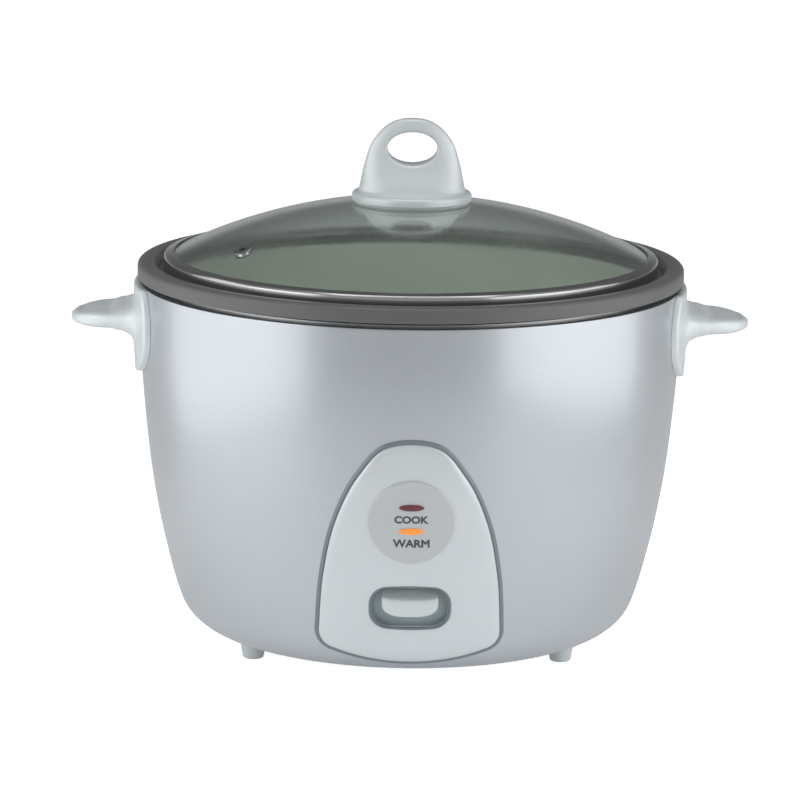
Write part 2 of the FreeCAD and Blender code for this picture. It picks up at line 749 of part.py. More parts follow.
def make_inlet_housing():
    flange = rounded_front(INLET_FLANGE_W, INLET_Z - INLET_FLANGE_H, INLET_Z + INLET_FLANGE_H, 6, 90, 150)
    flange = over_body(0.1, 2.6, flange)
    trunk = block(-INLET_HALF_W, INLET_HALF_W, INLET_BACK_Y, 150, INLET_Z - INLET_HALF_H,
                  INLET_Z + INLET_HALF_H).common(body_solid(2.6))
    housing = flange.fuse(trunk)
    mouth_y = INLET_BACK_Y + 4
    housing = housing.cut(block(-INLET_HALF_W + 2.5, INLET_HALF_W - 2.5, mouth_y, 150,
                                INLET_Z - INLET_HALF_H + 2.5, INLET_Z + INLET_HALF_H - 2.5))
    for side in (-1, 1):
        x0, x1 = sorted((side * 7.0, side * 9.0))
        housing = housing.cut(block(x0, x1, 90, 110, INLET_Z - 3, INLET_Z + 3))
        housing = housing.cut(Part.makeCylinder(1.5, 60, V(side * INLET_SCREW_X, 90, INLET_Z), V(0, 1, 0)))
    return one_solid(housing.removeSplitter())


def make_inlet_blades():
    blades = []
    for side in (-1, 1):
        x0, x1 = sorted((side * 7.0, side * 9.0))
        blades.append(block(x0, x1, INLET_BACK_Y - 8, INLET_BACK_Y + SOCKET_DEPTH, INLET_Z - 3, INLET_Z + 3))
    return Part.makeCompound(blades)


def make_inlet_screws():
    screws = []
    for side in (-1, 1):
        seat_y = 121.6
        shank = Part.makeCylinder(1.45, 10, V(side * INLET_SCREW_X, seat_y - 8, INLET_Z), V(0, 1, 0))
        head = Part.makeCylinder(3.0, 1.8, V(side * INLET_SCREW_X, seat_y + 2, INLET_Z), V(0, 1, 0))
        screws.append(head.fuse(shank).removeSplitter())
    return Part.makeCompound(screws)


# ---- pan ----

def make_inner_pan():
    """A drawn pan: flat floor, round corner, tall wall, a ledge for the lid and a rolled rim."""
    floor = PAN_FLOOR
    flat_r = 86.0
    corner_top = 108.0
    out_low = 120.6
    out_high = 124.2
    t = PAN_WALL

    def corner(inset):
        low = rz(flat_r, floor + inset)
        high = rz(out_low - inset, corner_top)
        bulge = rz(flat_r + (out_low - inset - flat_r) * 0.74, floor + inset + (corner_top - floor - inset) * 0.28)
        return low, high, arc(low, bulge, high)

    low_out, high_out, out_arc = corner(0)
    low_in, high_in, in_arc = corner(t)
    ledge_low = PAN_LEDGE - t
    outer = [high_out, rz(out_high, 194.0), rz(125.4 + CLEAR, ledge_low), rz(131.6, ledge_low),
             rz(134.6, PAN_TOP - t - 0.5), rz(140.2, PAN_TOP - t)]
    inner = [rz(139.6, PAN_TOP), rz(135.0, PAN_TOP - 0.6), rz(131.8, PAN_LEDGE), rz(124.8, PAN_LEDGE),
             rz(out_high - t, 195.0), high_in]
    edges = [line(rz(0, floor), low_out), out_arc]
    edges += [line(a, b) for a, b in zip(outer, outer[1:])]
    roll_in = rz(PAN_RIM_R - t, 200.0)
    lip_in = rz(PAN_RIM_R - t, 197.6)
    lip_out = rz(PAN_RIM_R, 197.6)
    roll_out = rz(PAN_RIM_R, 200.6)
    edges += [arc(outer[-1], rz(PAN_RIM_R - t - 0.4, 201.5), roll_in), line(roll_in, lip_in),
              line(lip_in, lip_out), line(lip_out, roll_out),
              arc(roll_out, rz(PAN_RIM_R - 1.1, 203.0), inner[0])]
    edges += [line(a, b) for a, b in zip(inner, inner[1:])]
    edges += [in_arc, line(low_in, rz(0, floor + t)), line(rz(0, floor + t), rz(0, floor))]
    return one_solid(turned(edges))


# ---- lid ----

def ball(radius):
    return Part.makeSphere(radius, V(0, 0, GLASS_CENTRE))


def square_to_glass(shape):
    """A shape made on the Z axis, swung about the dome's centre to the vent's place."""
    out = math.hypot(VENT_X, VENT_Y)
    shape.rotate(V(0, 0, GLASS_CENTRE), V(-VENT_Y, VENT_X, 0), math.degrees(math.asin(out / GLASS_R)))
    return one_solid(shape)


def make_glass_lid():
    column = disc(GLASS_EDGE_R, 150, 260)
    glass = ball(GLASS_R).common(column).cut(ball(GLASS_R - GLASS_THICK))
    glass = glass.cut(disc(4.0, 200, 260)).cut(square_to_glass(disc(VENT_R, 200, 260)))
    return one_solid(glass)


def make_lid_band(glass):
    low = PAN_LEDGE + CLEAR
    section = [(BAND_R, low), (BAND_R, 206.2), (129.2, 207.1), (124.6, 208.5), (124.6, 200.2), (125.5, low)]
    band = turned_polygon(section)
    pocket = ball(GLASS_R).common(disc(GLASS_EDGE_R, 150, 260)).cut(ball(GLASS_R - GLASS_THICK))
    inside = disc(124.61, 150, 260)
    return one_solid(band.cut(pocket).cut(inside.common(ball(GLASS_R))))


def make_knob_gasket():
    gasket = ball(GLASS_R + GASKET_THICK).cut(ball(GLASS_R))
    return one_solid(gasket.common(ring(20, 30.0, 200, 260)))


def make_lid_knob():
    base = disc(KNOB_BASE_R, 230, KNOB_BASE_TOP)
    base = base.makeFillet(2.2, [e for e in base.Edges if e.BoundBox.ZMin > KNOB_BASE_TOP - 0.1])
    wires = []
    for z, half_w, half_t in KNOB_SECTIONS:
        outline = Part.Ellipse(V(half_w, 0, z), V(0, half_t, z), V(0, 0, z))
        wires.append(Part.Wire(outline.toShape()))
    tab = outward(Part.makeLoft(wires, True, False))
    hole = ellipse_front(KNOB_HOLE_A, KNOB_HOLE_B, KNOB_HOLE_Z, -40, 40)
    knob = base.cut(ball(GLASS_R + GASKET_THICK)).fuse(tab).cut(hole)
    knob = knob.cut(ball(GLASS_R + GASKET_THICK)).cut(disc(2.5, 230, 250))
    return one_solid(knob.removeSplitter())


def make_knob_washer():
    low = GLASS_TOP - GLASS_THICK - 1.6
    return ring(2.6, 10.0, low, low + 1.4)


def make_knob_screw():
    seat = GLASS_TOP - GLASS_THICK - 1.6
    head = disc(5.0, seat - 2.6, seat)
    head = head.makeFillet(1.2, [e for e in head.Edges if e.BoundBox.ZMax < seat - 2.5])
    return one_solid(head.fuse(disc(2.4, seat, 249)).removeSplitter())


def make_vent_grommet():
    """A flanged eyelet through the glass, square to it."""
    top = GLASS_CENTRE + GLASS_R
    low = top - GLASS_THICK
    body = disc(VENT_R - 0.05, low - 0.5, top + 0.5)
    body = body.fuse(disc(5.0, top + 0.1, top + 0.8))
    body = body.fuse(disc(5.0, low - 0.8, low - 0.1))
    return square_to_glass(body.cut(disc(1.6, 180, 260)))


def main():
    save("outer_body", make_outer_body())
    save("inner_liner", make_inner_liner())
    save("base_plate", make_base_plate())
    for name, angle in FOOT_ANGLES.items():
        save(name, make_foot(angle))
    save("base_posts", make_base_posts())
    save("base_screws", make_base_screws())
    save("front_panel", make_front_panel())
    save("panel_bead", make_panel_bead())
    save("panel_screws", make_panel_screws())
    save("indicator_disc", make_indicator_disc())
    save("cook_lamp_lens", make_lens(COOK_Z))
    save("warm_lamp_lens", make_lens(WARM_Z))
    save("lamp_holder", make_lamp_holder())
    save("indicator_lamps", make_indicator_lamps())
    right = make_right_handle()
    save("right_handle", right)
    save("left_handle", make_left_handle(right))
    save("handle_screws", make_handle_screws())
    save("heating_plate", make_heating_plate())
    save("heating_element", make_heating_element())
    save("heater_legs", make_heater_legs())
    save("heater_screws", make_heater_screws())
    save("heat_shield", make_heat_shield())
    save("keep_warm_band", make_keep_warm_band())
    save("thermal_fuse", make_fuse())
    save("fuse_clip", make_fuse_clip())
    save("terminal_block", make_terminal_block())
    save("thermostat_tube", make_thermostat_tube())
    save("sensor_cup", make_sensor_cup())
    save("sensor_ferrite", make_sensor_ferrite())
    save("sensor_spring", make_sensor_spring())
    save("magnet", make_magnet())
    save("magnet_rod", make_magnet_rod())
    save("lever_arm", make_lever_arm())
    save("button_shield", make_button_shield())
    save("lever_button", make_lever_button())
    save("lever_bracket", make_lever_bracket())
    save("pivot_pin", make_pivot_pin())
    save("lever_spring", make_lever_spring())
    save("switch_body", make_switch_body())
    save("switch_plunger", make_switch_plunger())
    save("inlet_housing", make_inlet_housing())
    save("inlet_blades", make_inlet_blades())
    save("inlet_screws", make_inlet_screws())
    save("inner_pan", make_inner_pan())
    glass = make_glass_lid()
    save("glass_lid", glass)
    save("lid_band", make_lid_band(glass))
    save("knob_gasket", make_knob_gasket())
    save("lid_knob", make_lid_knob())
    save("knob_washer", make_knob_washer())
    save("knob_screw", make_knob_screw())
    save("vent_grommet", make_vent_grommet())


main()
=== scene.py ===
import json
import math
import bpy
import bmesh
import numpy as np
from mathutils import Matrix, Vector


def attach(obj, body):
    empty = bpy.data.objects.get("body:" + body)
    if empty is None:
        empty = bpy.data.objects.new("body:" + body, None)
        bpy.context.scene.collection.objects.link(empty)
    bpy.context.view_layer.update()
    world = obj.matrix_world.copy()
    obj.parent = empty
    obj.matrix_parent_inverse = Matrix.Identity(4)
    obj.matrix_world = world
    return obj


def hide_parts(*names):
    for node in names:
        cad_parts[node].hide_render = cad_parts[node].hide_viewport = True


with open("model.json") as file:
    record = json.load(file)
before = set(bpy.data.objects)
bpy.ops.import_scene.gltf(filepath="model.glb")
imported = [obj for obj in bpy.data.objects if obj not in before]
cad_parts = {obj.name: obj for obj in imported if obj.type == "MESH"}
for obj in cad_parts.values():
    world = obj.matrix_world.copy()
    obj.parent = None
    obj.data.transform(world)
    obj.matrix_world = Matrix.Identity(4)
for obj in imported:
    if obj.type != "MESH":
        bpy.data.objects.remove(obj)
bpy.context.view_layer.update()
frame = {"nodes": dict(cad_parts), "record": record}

# Rice cooker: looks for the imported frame. Lengths are in millimetres until MM turns them to metres.
MM = 0.001
DISC_Z = 95.4
SCENE = bpy.context.scene
PI = math.pi


# ---- materials ----

class Nodes:
    """Adds shader nodes to one material and links them."""

    def __init__(self, name):
        self.material = bpy.data.materials.new(name)
        self.material.use_nodes = True
        self.tree = self.material.node_tree
        self.main = next(n for n in self.tree.nodes if n.type == "BSDF_PRINCIPLED")
        self.out = next(n for n in self.tree.nodes if n.type == "OUTPUT_MATERIAL")
        self.place = self.add("ShaderNodeTexCoord").outputs["Object"]

    def add(self, kind, **values):
        node = self.tree.nodes.new(kind)
        for key, value in values.items():
            setattr(node, key, value)
        return node

    def join(self, source, target):
        self.tree.links.new(source, target)

    def stretched(self, scale):
        node = self.add("ShaderNodeMapping")
        node.inputs["Scale"].default_value = scale
        self.join(self.place, node.inputs["Vector"])
        return node.outputs["Vector"]

    def turned(self):
        """Coordinates that run out from the Z axis and up, for marks left by turning."""
        flat = self.add("ShaderNodeVectorMath", operation="MULTIPLY")
        flat.inputs[1].default_value = (1, 1, 0)
        self.join(self.place, flat.inputs[0])
        length = self.add("ShaderNodeVectorMath", operation="LENGTH")
        self.join(flat.outputs["Vector"], length.inputs[0])
        parts = self.add("ShaderNodeSeparateXYZ")
        self.join(self.place, parts.inputs["Vector"])
        both = self.add("ShaderNodeCombineXYZ")
        self.join(length.outputs["Value"], both.inputs["X"])
        self.join(parts.outputs["Z"], both.inputs["Y"])
        return both.outputs["Vector"]

    def noise(self, scale, vector=None, detail=3.0):
        node = self.add("ShaderNodeTexNoise")
        node.inputs["Scale"].default_value = scale
        node.inputs["Detail"].default_value = detail
        self.join(vector or self.place, node.inputs["Vector"])
        return node.outputs["Fac"]

    def span(self, source, low, high, start=0.3, end=0.7):
        node = self.add("ShaderNodeMapRange")
        node.inputs["From Min"].default_value = start
        node.inputs["From Max"].default_value = end
        node.inputs["To Min"].default_value = low
        node.inputs["To Max"].default_value = high
        self.join(source, node.inputs["Value"])
        return node.outputs["Result"]

    def blend(self, factor, a, b):
        node = self.add("ShaderNodeMix", data_type="RGBA")
        for key, value in (("A", a), ("B", b)):
            socket = [s for s in node.inputs if s.name == key and s.type == "RGBA"][0]
            if isinstance(value, tuple):
                socket.default_value = (*value, 1)
            else:
                self.join(value, socket)
        self.join(factor, node.inputs[0])
        return [s for s in node.outputs if s.type == "RGBA"][0]

    def bump(self, height, depth, strength, before=None):
        node = self.add("ShaderNodeBump")
        node.inputs["Strength"].default_value = strength
        node.inputs["Distance"].default_value = depth
        self.join(height, node.inputs["Height"])
        if before:
            self.join(before, node.inputs["Normal"])
        return node.outputs["Normal"]


def surface(name, base, rough, metal=0.0, grain=900.0, depth=0.00003, wave=14.0, shade=0.06,
            marks=None, coat=0.0, flakes=0.0, ior=1.47, painted_shade_above=None, mottle=0.05):
    """A procedural finish: fine grain, slow waves in tone and gloss, and turning marks or flakes.
    A second colour and a height, where given, paint all that lies higher in that darker colour:
    painted shade, used for the pan's dim rim. mottle is how much the gloss changes from grain to grain."""
    n = Nodes(name)
    vector = n.turned() if marks == "turned" else n.stretched(marks) if marks else n.place
    fine = n.noise(grain, vector)
    broad = n.noise(wave)
    dark = tuple(c * (1 - shade) for c in base)
    light = tuple(min(1.0, c * (1 + shade)) for c in base)
    colour = n.blend(n.span(broad, 0, 1), dark, light)
    if flakes:
        cells = n.add("ShaderNodeTexVoronoi")
        cells.inputs["Scale"].default_value = 4200
        n.join(n.place, cells.inputs["Vector"])
        tone = n.add("ShaderNodeSeparateColor")
        n.join(cells.outputs["Color"], tone.inputs["Color"])
        bright = tuple(min(1.0, c * (1 + flakes)) for c in base)
        colour = n.blend(n.span(tone.outputs["Red"], 0, 1, 0.72, 1.0), colour, bright)
    # Higher than the given height the colour turns to the darker second colour: painted shade on the pan's
    # rim.
    if painted_shade_above:
        height = n.add("ShaderNodeSeparateXYZ")
        n.join(n.place, height.inputs["Vector"])
        colour = n.blend(n.span(height.outputs["Z"], 0, 1, painted_shade_above[1] - 0.0008, painted_shade_above[1]), colour, painted_shade_above[0])
    n.join(colour, n.main.inputs["Base Color"])
    mixed = n.add("ShaderNodeMath", operation="ADD")
    n.join(n.span(fine, -mottle, mottle), mixed.inputs[0])
    n.join(n.span(broad, rough - 0.03, rough + 0.03), mixed.inputs[1])
    n.join(mixed.outputs["Value"], n.main.inputs["Roughness"])
    relief = n.bump(n.noise(90, detail=2.0), depth * 2, 0.35)
    n.join(n.bump(fine, depth, 0.5, relief), n.main.inputs["Normal"])
    n.main.inputs["Metallic"].default_value = metal
    n.main.inputs["Coat Weight"].default_value = coat
    n.main.inputs["Coat Roughness"].default_value = 0.12
    n.main.inputs["IOR"].default_value = ior
    return n


def clear_glass(name, tint, rough):
    """Glass that mirrors and bends light but lets the lamps' light through to what is under it."""
    n = surface(name, tint, rough, depth=0.000004, shade=0.02)
    n.main.inputs["Transmission Weight"].default_value = 1.0
    n.main.inputs["IOR"].default_value = 1.5
    passing = n.add("ShaderNodeBsdfTransparent")
    passing.inputs["Color"].default_value = (*tint, 1)
    which = n.add("ShaderNodeLightPath")
    mix = n.add("ShaderNodeMixShader")
    n.join(which.outputs["Is Shadow Ray"], mix.inputs[0])
    n.join(n.main.outputs["BSDF"], mix.inputs[1])
    n.join(passing.outputs["BSDF"], mix.inputs[2])
    n.join(mix.outputs["Shader"], n.out.inputs["Surface"])
    return n


def lens(name, tint, glow):
    """Tinted plastic with faint ribs and, for a lit lamp, some light of its own."""
    n = surface(name, tint, 0.18, coat=0.6, shade=0.12, wave=240.0)
    if glow:
        n.main.inputs["Emission Color"].default_value = (*tint, 1)
        n.main.inputs["Emission Strength"].default_value = glow
    return n


MADE = {
    "body_paint": surface("silver paint", (0.545, 0.577, 0.608), 0.335, metal=0.82, grain=1500,
                          depth=0.000001, coat=0.35, mottle=0.02, flakes=0.07, shade=0.012),
    "liner_aluminium": surface("rolled aluminium", (0.62, 0.62, 0.63), 0.34, 1.0, 700, marks="turned"),
    "cast_aluminium": surface("cast aluminium", (0.56, 0.56, 0.57), 0.42, 1.0, 1400, marks="turned"),
    # The pan's coating is one grey-green; its rim, from 195.5 mm up, is painted near black as painted shade.
    "pan_coating": surface("pan coating", (0.66, 0.69, 0.62), 0.42, 0.1, 1800, 0.000012, shade=0.04,
                           painted_shade_above=((0.135, 0.138, 0.13), 0.1955)),
    "white_plastic": surface("pale plastic", (0.69, 0.73, 0.745), 0.33, metal=0.2, grain=1300,
                             depth=0.0000008, shade=0.012, coat=0.2, mottle=0.008),
    "grey_plastic": surface("grey plastic", (0.50, 0.60, 0.62), 0.38, grain=1500, depth=0.00001, shade=0.03),
    "dark_plastic": surface("dark plastic", (0.045, 0.045, 0.05), 0.48, grain=1500, depth=0.00005),
    "disc_silver": surface("silver film", (0.575, 0.60, 0.61), 0.37, 0.3, grain=2400,
                           depth=0.000006, shade=0.02),
    "bead_grey": surface("bead grey", (0.22, 0.255, 0.275), 0.38, 0.4, grain=1500,
                         depth=0.000006, shade=0.03),
    "lens_red": lens("red lens", (0.15, 0.016, 0.034), 0.0),
    "lens_amber": lens("amber lens", (0.86, 0.27, 0.04), 0.35),
    "lamp_glass": clear_glass("lamp glass", (0.92, 0.86, 0.8), 0.05),
    "lid_glass": clear_glass("lid glass", (0.915, 0.965, 0.94), 0.03),
    "stainless": surface("stainless", (0.55, 0.55, 0.54), 0.17, 1.0, 1200, 0.000006, marks="turned"),
    "screw_steel": surface("zinc plate", (0.58, 0.58, 0.57), 0.34, 1.0, 1600),
    "spring_steel": surface("spring wire", (0.42, 0.42, 0.43), 0.30, 1.0, 2200),
    "plated_steel": surface("plated sheet", (0.56, 0.56, 0.56), 0.36, 1.0, 900, marks=(1, 1, 0.06)),
    "brass": surface("brass", (0.70, 0.52, 0.22), 0.30, 1.0, 1300),
    "ferrite": surface("ferrite", (0.08, 0.08, 0.085), 0.55, 0.3, 1400, 0.00008),
    "element_sheath": surface("element sheath", (0.26, 0.25, 0.24), 0.46, 0.9, 1000, 0.00006, shade=0.2),
    "silicone": surface("silicone", (0.62, 0.65, 0.65), 0.5, grain=1100),
    "foot_rubber": surface("pale rubber", (0.66, 0.70, 0.72), 0.55, grain=1500, depth=0.00006),
    "mica_band": surface("mica band", (0.50, 0.40, 0.26), 0.5, 0.1, 500, 0.00008, shade=0.25),
    "panel_gloss": surface("panel gloss", (0.69, 0.73, 0.75), 0.335, metal=0.3, grain=1300,
                           depth=0.0000004, shade=0.01, coat=0.3, mottle=0.008),
    "ink": surface("grey ink", (0.07, 0.08, 0.085), 0.45, grain=1800),
}
FINISH = {name: nodes.material for name, nodes in MADE.items()}

for entry in frame["record"]["subparts"]:
    node = frame["nodes"][entry["node"]]
    node.data.materials.clear()
    node.data.materials.append(FINISH[entry["material_slot"]])


# ---- mesh helpers ----

def build(name, verts, faces, body, slot, nodes=(), sharp=32, finish=None):
    """One closed piece from points in millimetres, smooth but for its true corners."""
    mesh = bpy.data.meshes.new(name)
    mesh.from_pydata([(x * MM, y * MM, z * MM) for x, y, z in verts], [], faces)
    form = bmesh.new()
    form.from_mesh(mesh)
    bmesh.ops.remove_doubles(form, verts=form.verts, dist=2e-6)
    bmesh.ops.dissolve_degenerate(form, edges=form.edges, dist=1e-6)
    bmesh.ops.recalc_face_normals(form, faces=form.faces)
    shade(form, sharp)
    form.to_mesh(mesh)
    form.free()
    piece = bpy.data.objects.new(name, mesh)
    SCENE.collection.objects.link(piece)
    mesh.materials.append(FINISH[finish or slot])
    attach(piece, body)
    if nodes:
        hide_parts(*nodes)
    return piece


def shade(form, sharp):
    limit = math.radians(sharp)
    for face in form.faces:
        face.smooth = True
    for edge in form.edges:
        edge.smooth = len(edge.link_faces) == 2 and edge.calc_face_angle(0.0) < limit


def cut(piece, cutters, sharp=32):
    """Cuts closed forms out of a piece and keeps the result as its plain mesh."""
    for cutter in cutters:
        modifier = piece.modifiers.new("cut", "BOOLEAN")
        modifier.operation = "DIFFERENCE"
        modifier.solver = "EXACT"
        modifier.object = cutter
    bpy.context.view_layer.update()
    seen = piece.evaluated_get(bpy.context.evaluated_depsgraph_get())
    mesh = bpy.data.meshes.new_from_object(seen)
    piece.modifiers.clear()
    finish = piece.data.materials[0]
    piece.data = mesh
    mesh.materials.clear()
    mesh.materials.append(finish)
    form = bmesh.new()
    form.from_mesh(mesh)
    for face in form.faces:
        face.material_index = 0
    shade(form, sharp)
    form.to_mesh(mesh)
    form.free()
    for cutter in cutters:
        bpy.data.objects.remove(cutter)


def cutter(verts, faces):
    mesh = bpy.data.meshes.new("cutter")
    mesh.from_pydata([(x * MM, y * MM, z * MM) for x, y, z in verts], [], faces)
    form = bmesh.new()
    form.from_mesh(mesh)
    bmesh.ops.recalc_face_normals(form, faces=form.faces)
    form.to_mesh(mesh)
    form.free()
    shape = bpy.data.objects.new("cutter", mesh)
    SCENE.collection.objects.link(shape)
    return shape


def soft(points, steps=6):
    """A closed outline whose corners are rounded by each point's third number."""
    out = []
    for i, (x, y, radius) in enumerate(points):
        if not radius:
            out.append((x, y))
            continue
        corner = Vector((x, y))
        before = (Vector(points[i - 1][:2]) - corner).normalized()
        after = (Vector(points[(i + 1) % len(points)][:2]) - corner).normalized()
        half = before.angle(after) / 2
        centre = corner + (before + after).normalized() * (radius / math.sin(half))
        reach = radius / math.tan(half)
        u = corner + before * reach - centre
        v = corner + after * reach - centre
        sweep = PI - 2 * half
        for k in range(steps + 1):
            w = k / steps
            p = centre + (u * math.sin((1 - w) * sweep) + v * math.sin(w * sweep)) / math.sin(sweep)
            out.append((p.x, p.y))
    return out


def smooth_line(points, first, last, steps=10):
    """A smooth curve through points, with its end directions given."""
    p = [Vector(q) for q in points]
    gaps = [(b - a).length for a, b in zip(p, p[1:])]
    ways = [Vector(first).normalized()]
    for i in range(1, len(p) - 1):
        back, ahead = (p[i] - p[i - 1]) / gaps[i - 1], (p[i + 1] - p[i]) / gaps[i]
        ways.append((back * gaps[i] + ahead * gaps[i - 1]) / (gaps[i] + gaps[i - 1]))
    ways.append(Vector(last).normalized())
    out = []
    for i, gap in enumerate(gaps):
        for k in range(steps):
            t = k / steps
            a, b = 2 * t ** 3 - 3 * t ** 2 + 1, t ** 3 - 2 * t ** 2 + t
            c, d = 3 * t ** 2 - 2 * t ** 3, t ** 3 - t ** 2
            out.append(tuple(p[i] * a + ways[i] * (b * gap) + p[i + 1] * c + ways[i + 1] * (d * gap)))
    out.append(tuple(p[-1]))
    return out


def arc(a, b, c, steps=12):
    """Points on the circle from a through b to c."""
    (ax, ay), (bx, by), (cx, cy) = a, b, c
    d = 2 * (ax * (by - cy) + bx * (cy - ay) + cx * (ay - by))
    sa, sb, sc = ax * ax + ay * ay, bx * bx + by * by, cx * cx + cy * cy
    ux = (sa * (by - cy) + sb * (cy - ay) + sc * (ay - by)) / d
    uy = (sa * (cx - bx) + sb * (ax - cx) + sc * (bx - ax)) / d
    start = math.atan2(ay - uy, ax - ux)
    middle = (math.atan2(by - uy, bx - ux) - start) % (2 * PI)
    end = (math.atan2(cy - uy, cx - ux) - start) % (2 * PI)
    if middle > end:
        end -= 2 * PI
    radius = math.hypot(ax - ux, ay - uy)
    turns = [start + end * k / steps for k in range(steps + 1)]
    return [(ux + radius * math.cos(t), uy + radius * math.sin(t)) for t in turns]


def strips(loops, closed=True):
    """Points and faces that join a run of loops of equal length."""
    count = len(loops[0])
    verts = [p for loop in loops for p in loop]
    faces = []
    last = len(loops) if closed else len(loops) - 1
    for i in range(last):
        a, b = i * count, (i + 1) % len(loops) * count
        for k in range(count):
            j = (k + 1) % count
            faces.append((a + k, a + j, b + j, b + k))
    return verts, faces


def capped(loops):
    """Loops joined and closed at both ends by fans round the end loops' middles."""
    verts, faces = strips(loops, closed=False)
    count = len(loops[0])
    for start in (0, len(verts) - count):
        ring = verts[start:start + count]
        middle = tuple(sum(p[i] for p in ring) / count for i in range(3))
        verts.append(middle)
        faces += [(start + k, start + (k + 1) % count, len(verts) - 1) for k in range(count)]
    return verts, faces


def turn_round(section, seg=224, x=0.0, y=0.0):
    """A closed section of radius and height turned about an upright axis."""
    verts, rings, faces = [], [], []
    for r, z in section:
        count = 1 if r < 1e-6 else seg
        rings.append(list(range(len(verts), len(verts) + count)))
        for k in range(count):
            turn = 2 * PI * k / seg
            verts.append((x + r * math.cos(turn), y + r * math.sin(turn), z))
    for a, b in zip(rings, rings[1:] + rings[:1]):
        for k in range(seg):
            j = (k + 1) % seg
            if len(a) == 1 and len(b) == 1:
                break
            if len(a) == 1:
                faces.append((a[0], b[j], b[k]))
            elif len(b) == 1:
                faces.append((a[k], a[j], b[0]))
            else:
                faces.append((a[k], a[j], b[j], b[k]))
    return verts, faces


def box_form(x0, x1, y0, y1, z0, z1):
    loops = [[(x0, y0, z), (x1, y0, z), (x1, y1, z), (x0, y1, z)] for z in (z0, z1)]
    return capped(loops)


def rod_form(x, z, radius, y0, y1, seg=48):
    ring = [(radius * math.cos(2 * PI * k / seg), radius * math.sin(2 * PI * k / seg)) for k in range(seg)]
    return capped([[(x + a, y, z + b) for a, b in ring] for y in (y0, y1)])


# ---- outer body ----

WALL_POINTS = [(141.8, 193.0), (141.8, 160.0), (139.4, 125.0), (135.4, 90.0), (128.7, 55.0), (120.55, 25.8)]
CORNER = [(98 + 24 * math.cos(math.radians(t)), 34 + 24 * math.sin(math.radians(t)))
          for t in range(-24, -91, -3)]
WALL = smooth_line(WALL_POINTS, (0, -1), (-0.342, -0.94)) + CORNER
WALL_Z = np.array([z for r, z in WALL])[::-1]
WALL_R = np.array([r for r, z in WALL])[::-1]


def wall_r(z):
    return float(np.interp(z, WALL_Z, WALL_R))


def on_front(x, z, lift):
    """The point in front of the body wall at x and z, lifted off it."""
    return (x, -math.sqrt((wall_r(z) + lift) ** 2 - x * x), z)


def inset_line(points, gap):
    out = []
    for i, p in enumerate(points):
        a, b = Vector(points[max(i - 1, 0)]), Vector(points[min(i + 1, len(points) - 1)])
        way = (b - a).normalized()
        out.append((p[0] + way.y * gap, p[1] - way.x * gap))
    return out


turn_in = [(141.4 + 0.4 * math.sin(t), 192.6 + 0.4 * math.cos(t)) for t in (0, 0.39, 0.79, 1.18, 1.57)]
outer_line = [(126.6, 193.0), (140.6, 193.0)] + turn_in + [(141.8, 191.6)] + WALL[2:]
outer_line += [(90.0, 10.0), (86.4, 10.0), (86.0, 10.3)]
inner_line = [(r, z) for r, z in inset_line(WALL[2:], 1.0) if z > 11.0]
inner_line = [(126.4, 192.6), (126.6, 192.0), (140.6, 192.0)] + inner_line + [(86.0, 11.0)]
verts, faces = turn_round(outer_line + inner_line[::-1], 256)
body = build("body_shell", verts, faces, "housing", "body_paint", ["outer_body"])
LEVER_OPENING = box_form(-25, 25, -150, -100, 28, 70)
LAMP_OPENING = rod_form(0, DISC_Z, 17, -150, -120)
INLET_OPENING = box_form(-20, 20, 100, 150, 18, 40)
cut(body, [cutter(*opening) for opening in (LEVER_OPENING, LAMP_OPENING, INLET_OPENING)])


# ---- feet ----

FOOT_CIRCLE = 93
for name, turn in (("foot_front_right", -30), ("foot_front_left", 210), ("foot_rear", 90)):
    x, y = FOOT_CIRCLE * math.cos(math.radians(turn)), FOOT_CIRCLE * math.sin(math.radians(turn))
    section = soft([(0, 0, 0), (5.4, 0, 1.3), (7.0, 10.0, 0.3), (0, 10.0, 0)])
    verts, faces = turn_round(section, 48, x, y)
    build(name + "_rubber", verts, faces, "housing", "foot_rubber", [name])


# ---- front panel, its bead and its disc ----

def panel_edge():
    """The arch seen from the front, from the top round to the right."""
    side = smooth_line([(0, 135.3), (13.6, 132.7), (26.3, 118.6), (37.9, 93.5), (43.4, 67.0), (45.7, 34.0)],
                       (1, 0), (0.05, -1), 12)
    foot = arc((45.7, 34.0), (43.6, 28.0), (38.0, 24.6), 8)[1:]
    low = arc((38.0, 24.6), (0.0, 18.1), (-38.0, 24.6), 24)[1:13]
    half = side + foot + low
    return half + [(-x, z) for x, z in reversed(half[1:-1])]


def rounded_frame(half_w, half_h, radius, middle_z):
    return soft([(half_w, middle_z + half_h, radius), (half_w, middle_z - half_h, radius),
                 (-half_w, middle_z - half_h, radius), (-half_w, middle_z + half_h, radius)], 12)


def normals_of(loop):
    out = []
    for i in range(len(loop)):
        way = (Vector(loop[(i + 1) % len(loop)]) - Vector(loop[i - 1])).normalized()
        out.append((-way.y, way.x))
    return out


def ease(t):
    t = min(max(t, 0.0), 1.0)
    return t * t * (3 - 2 * t)


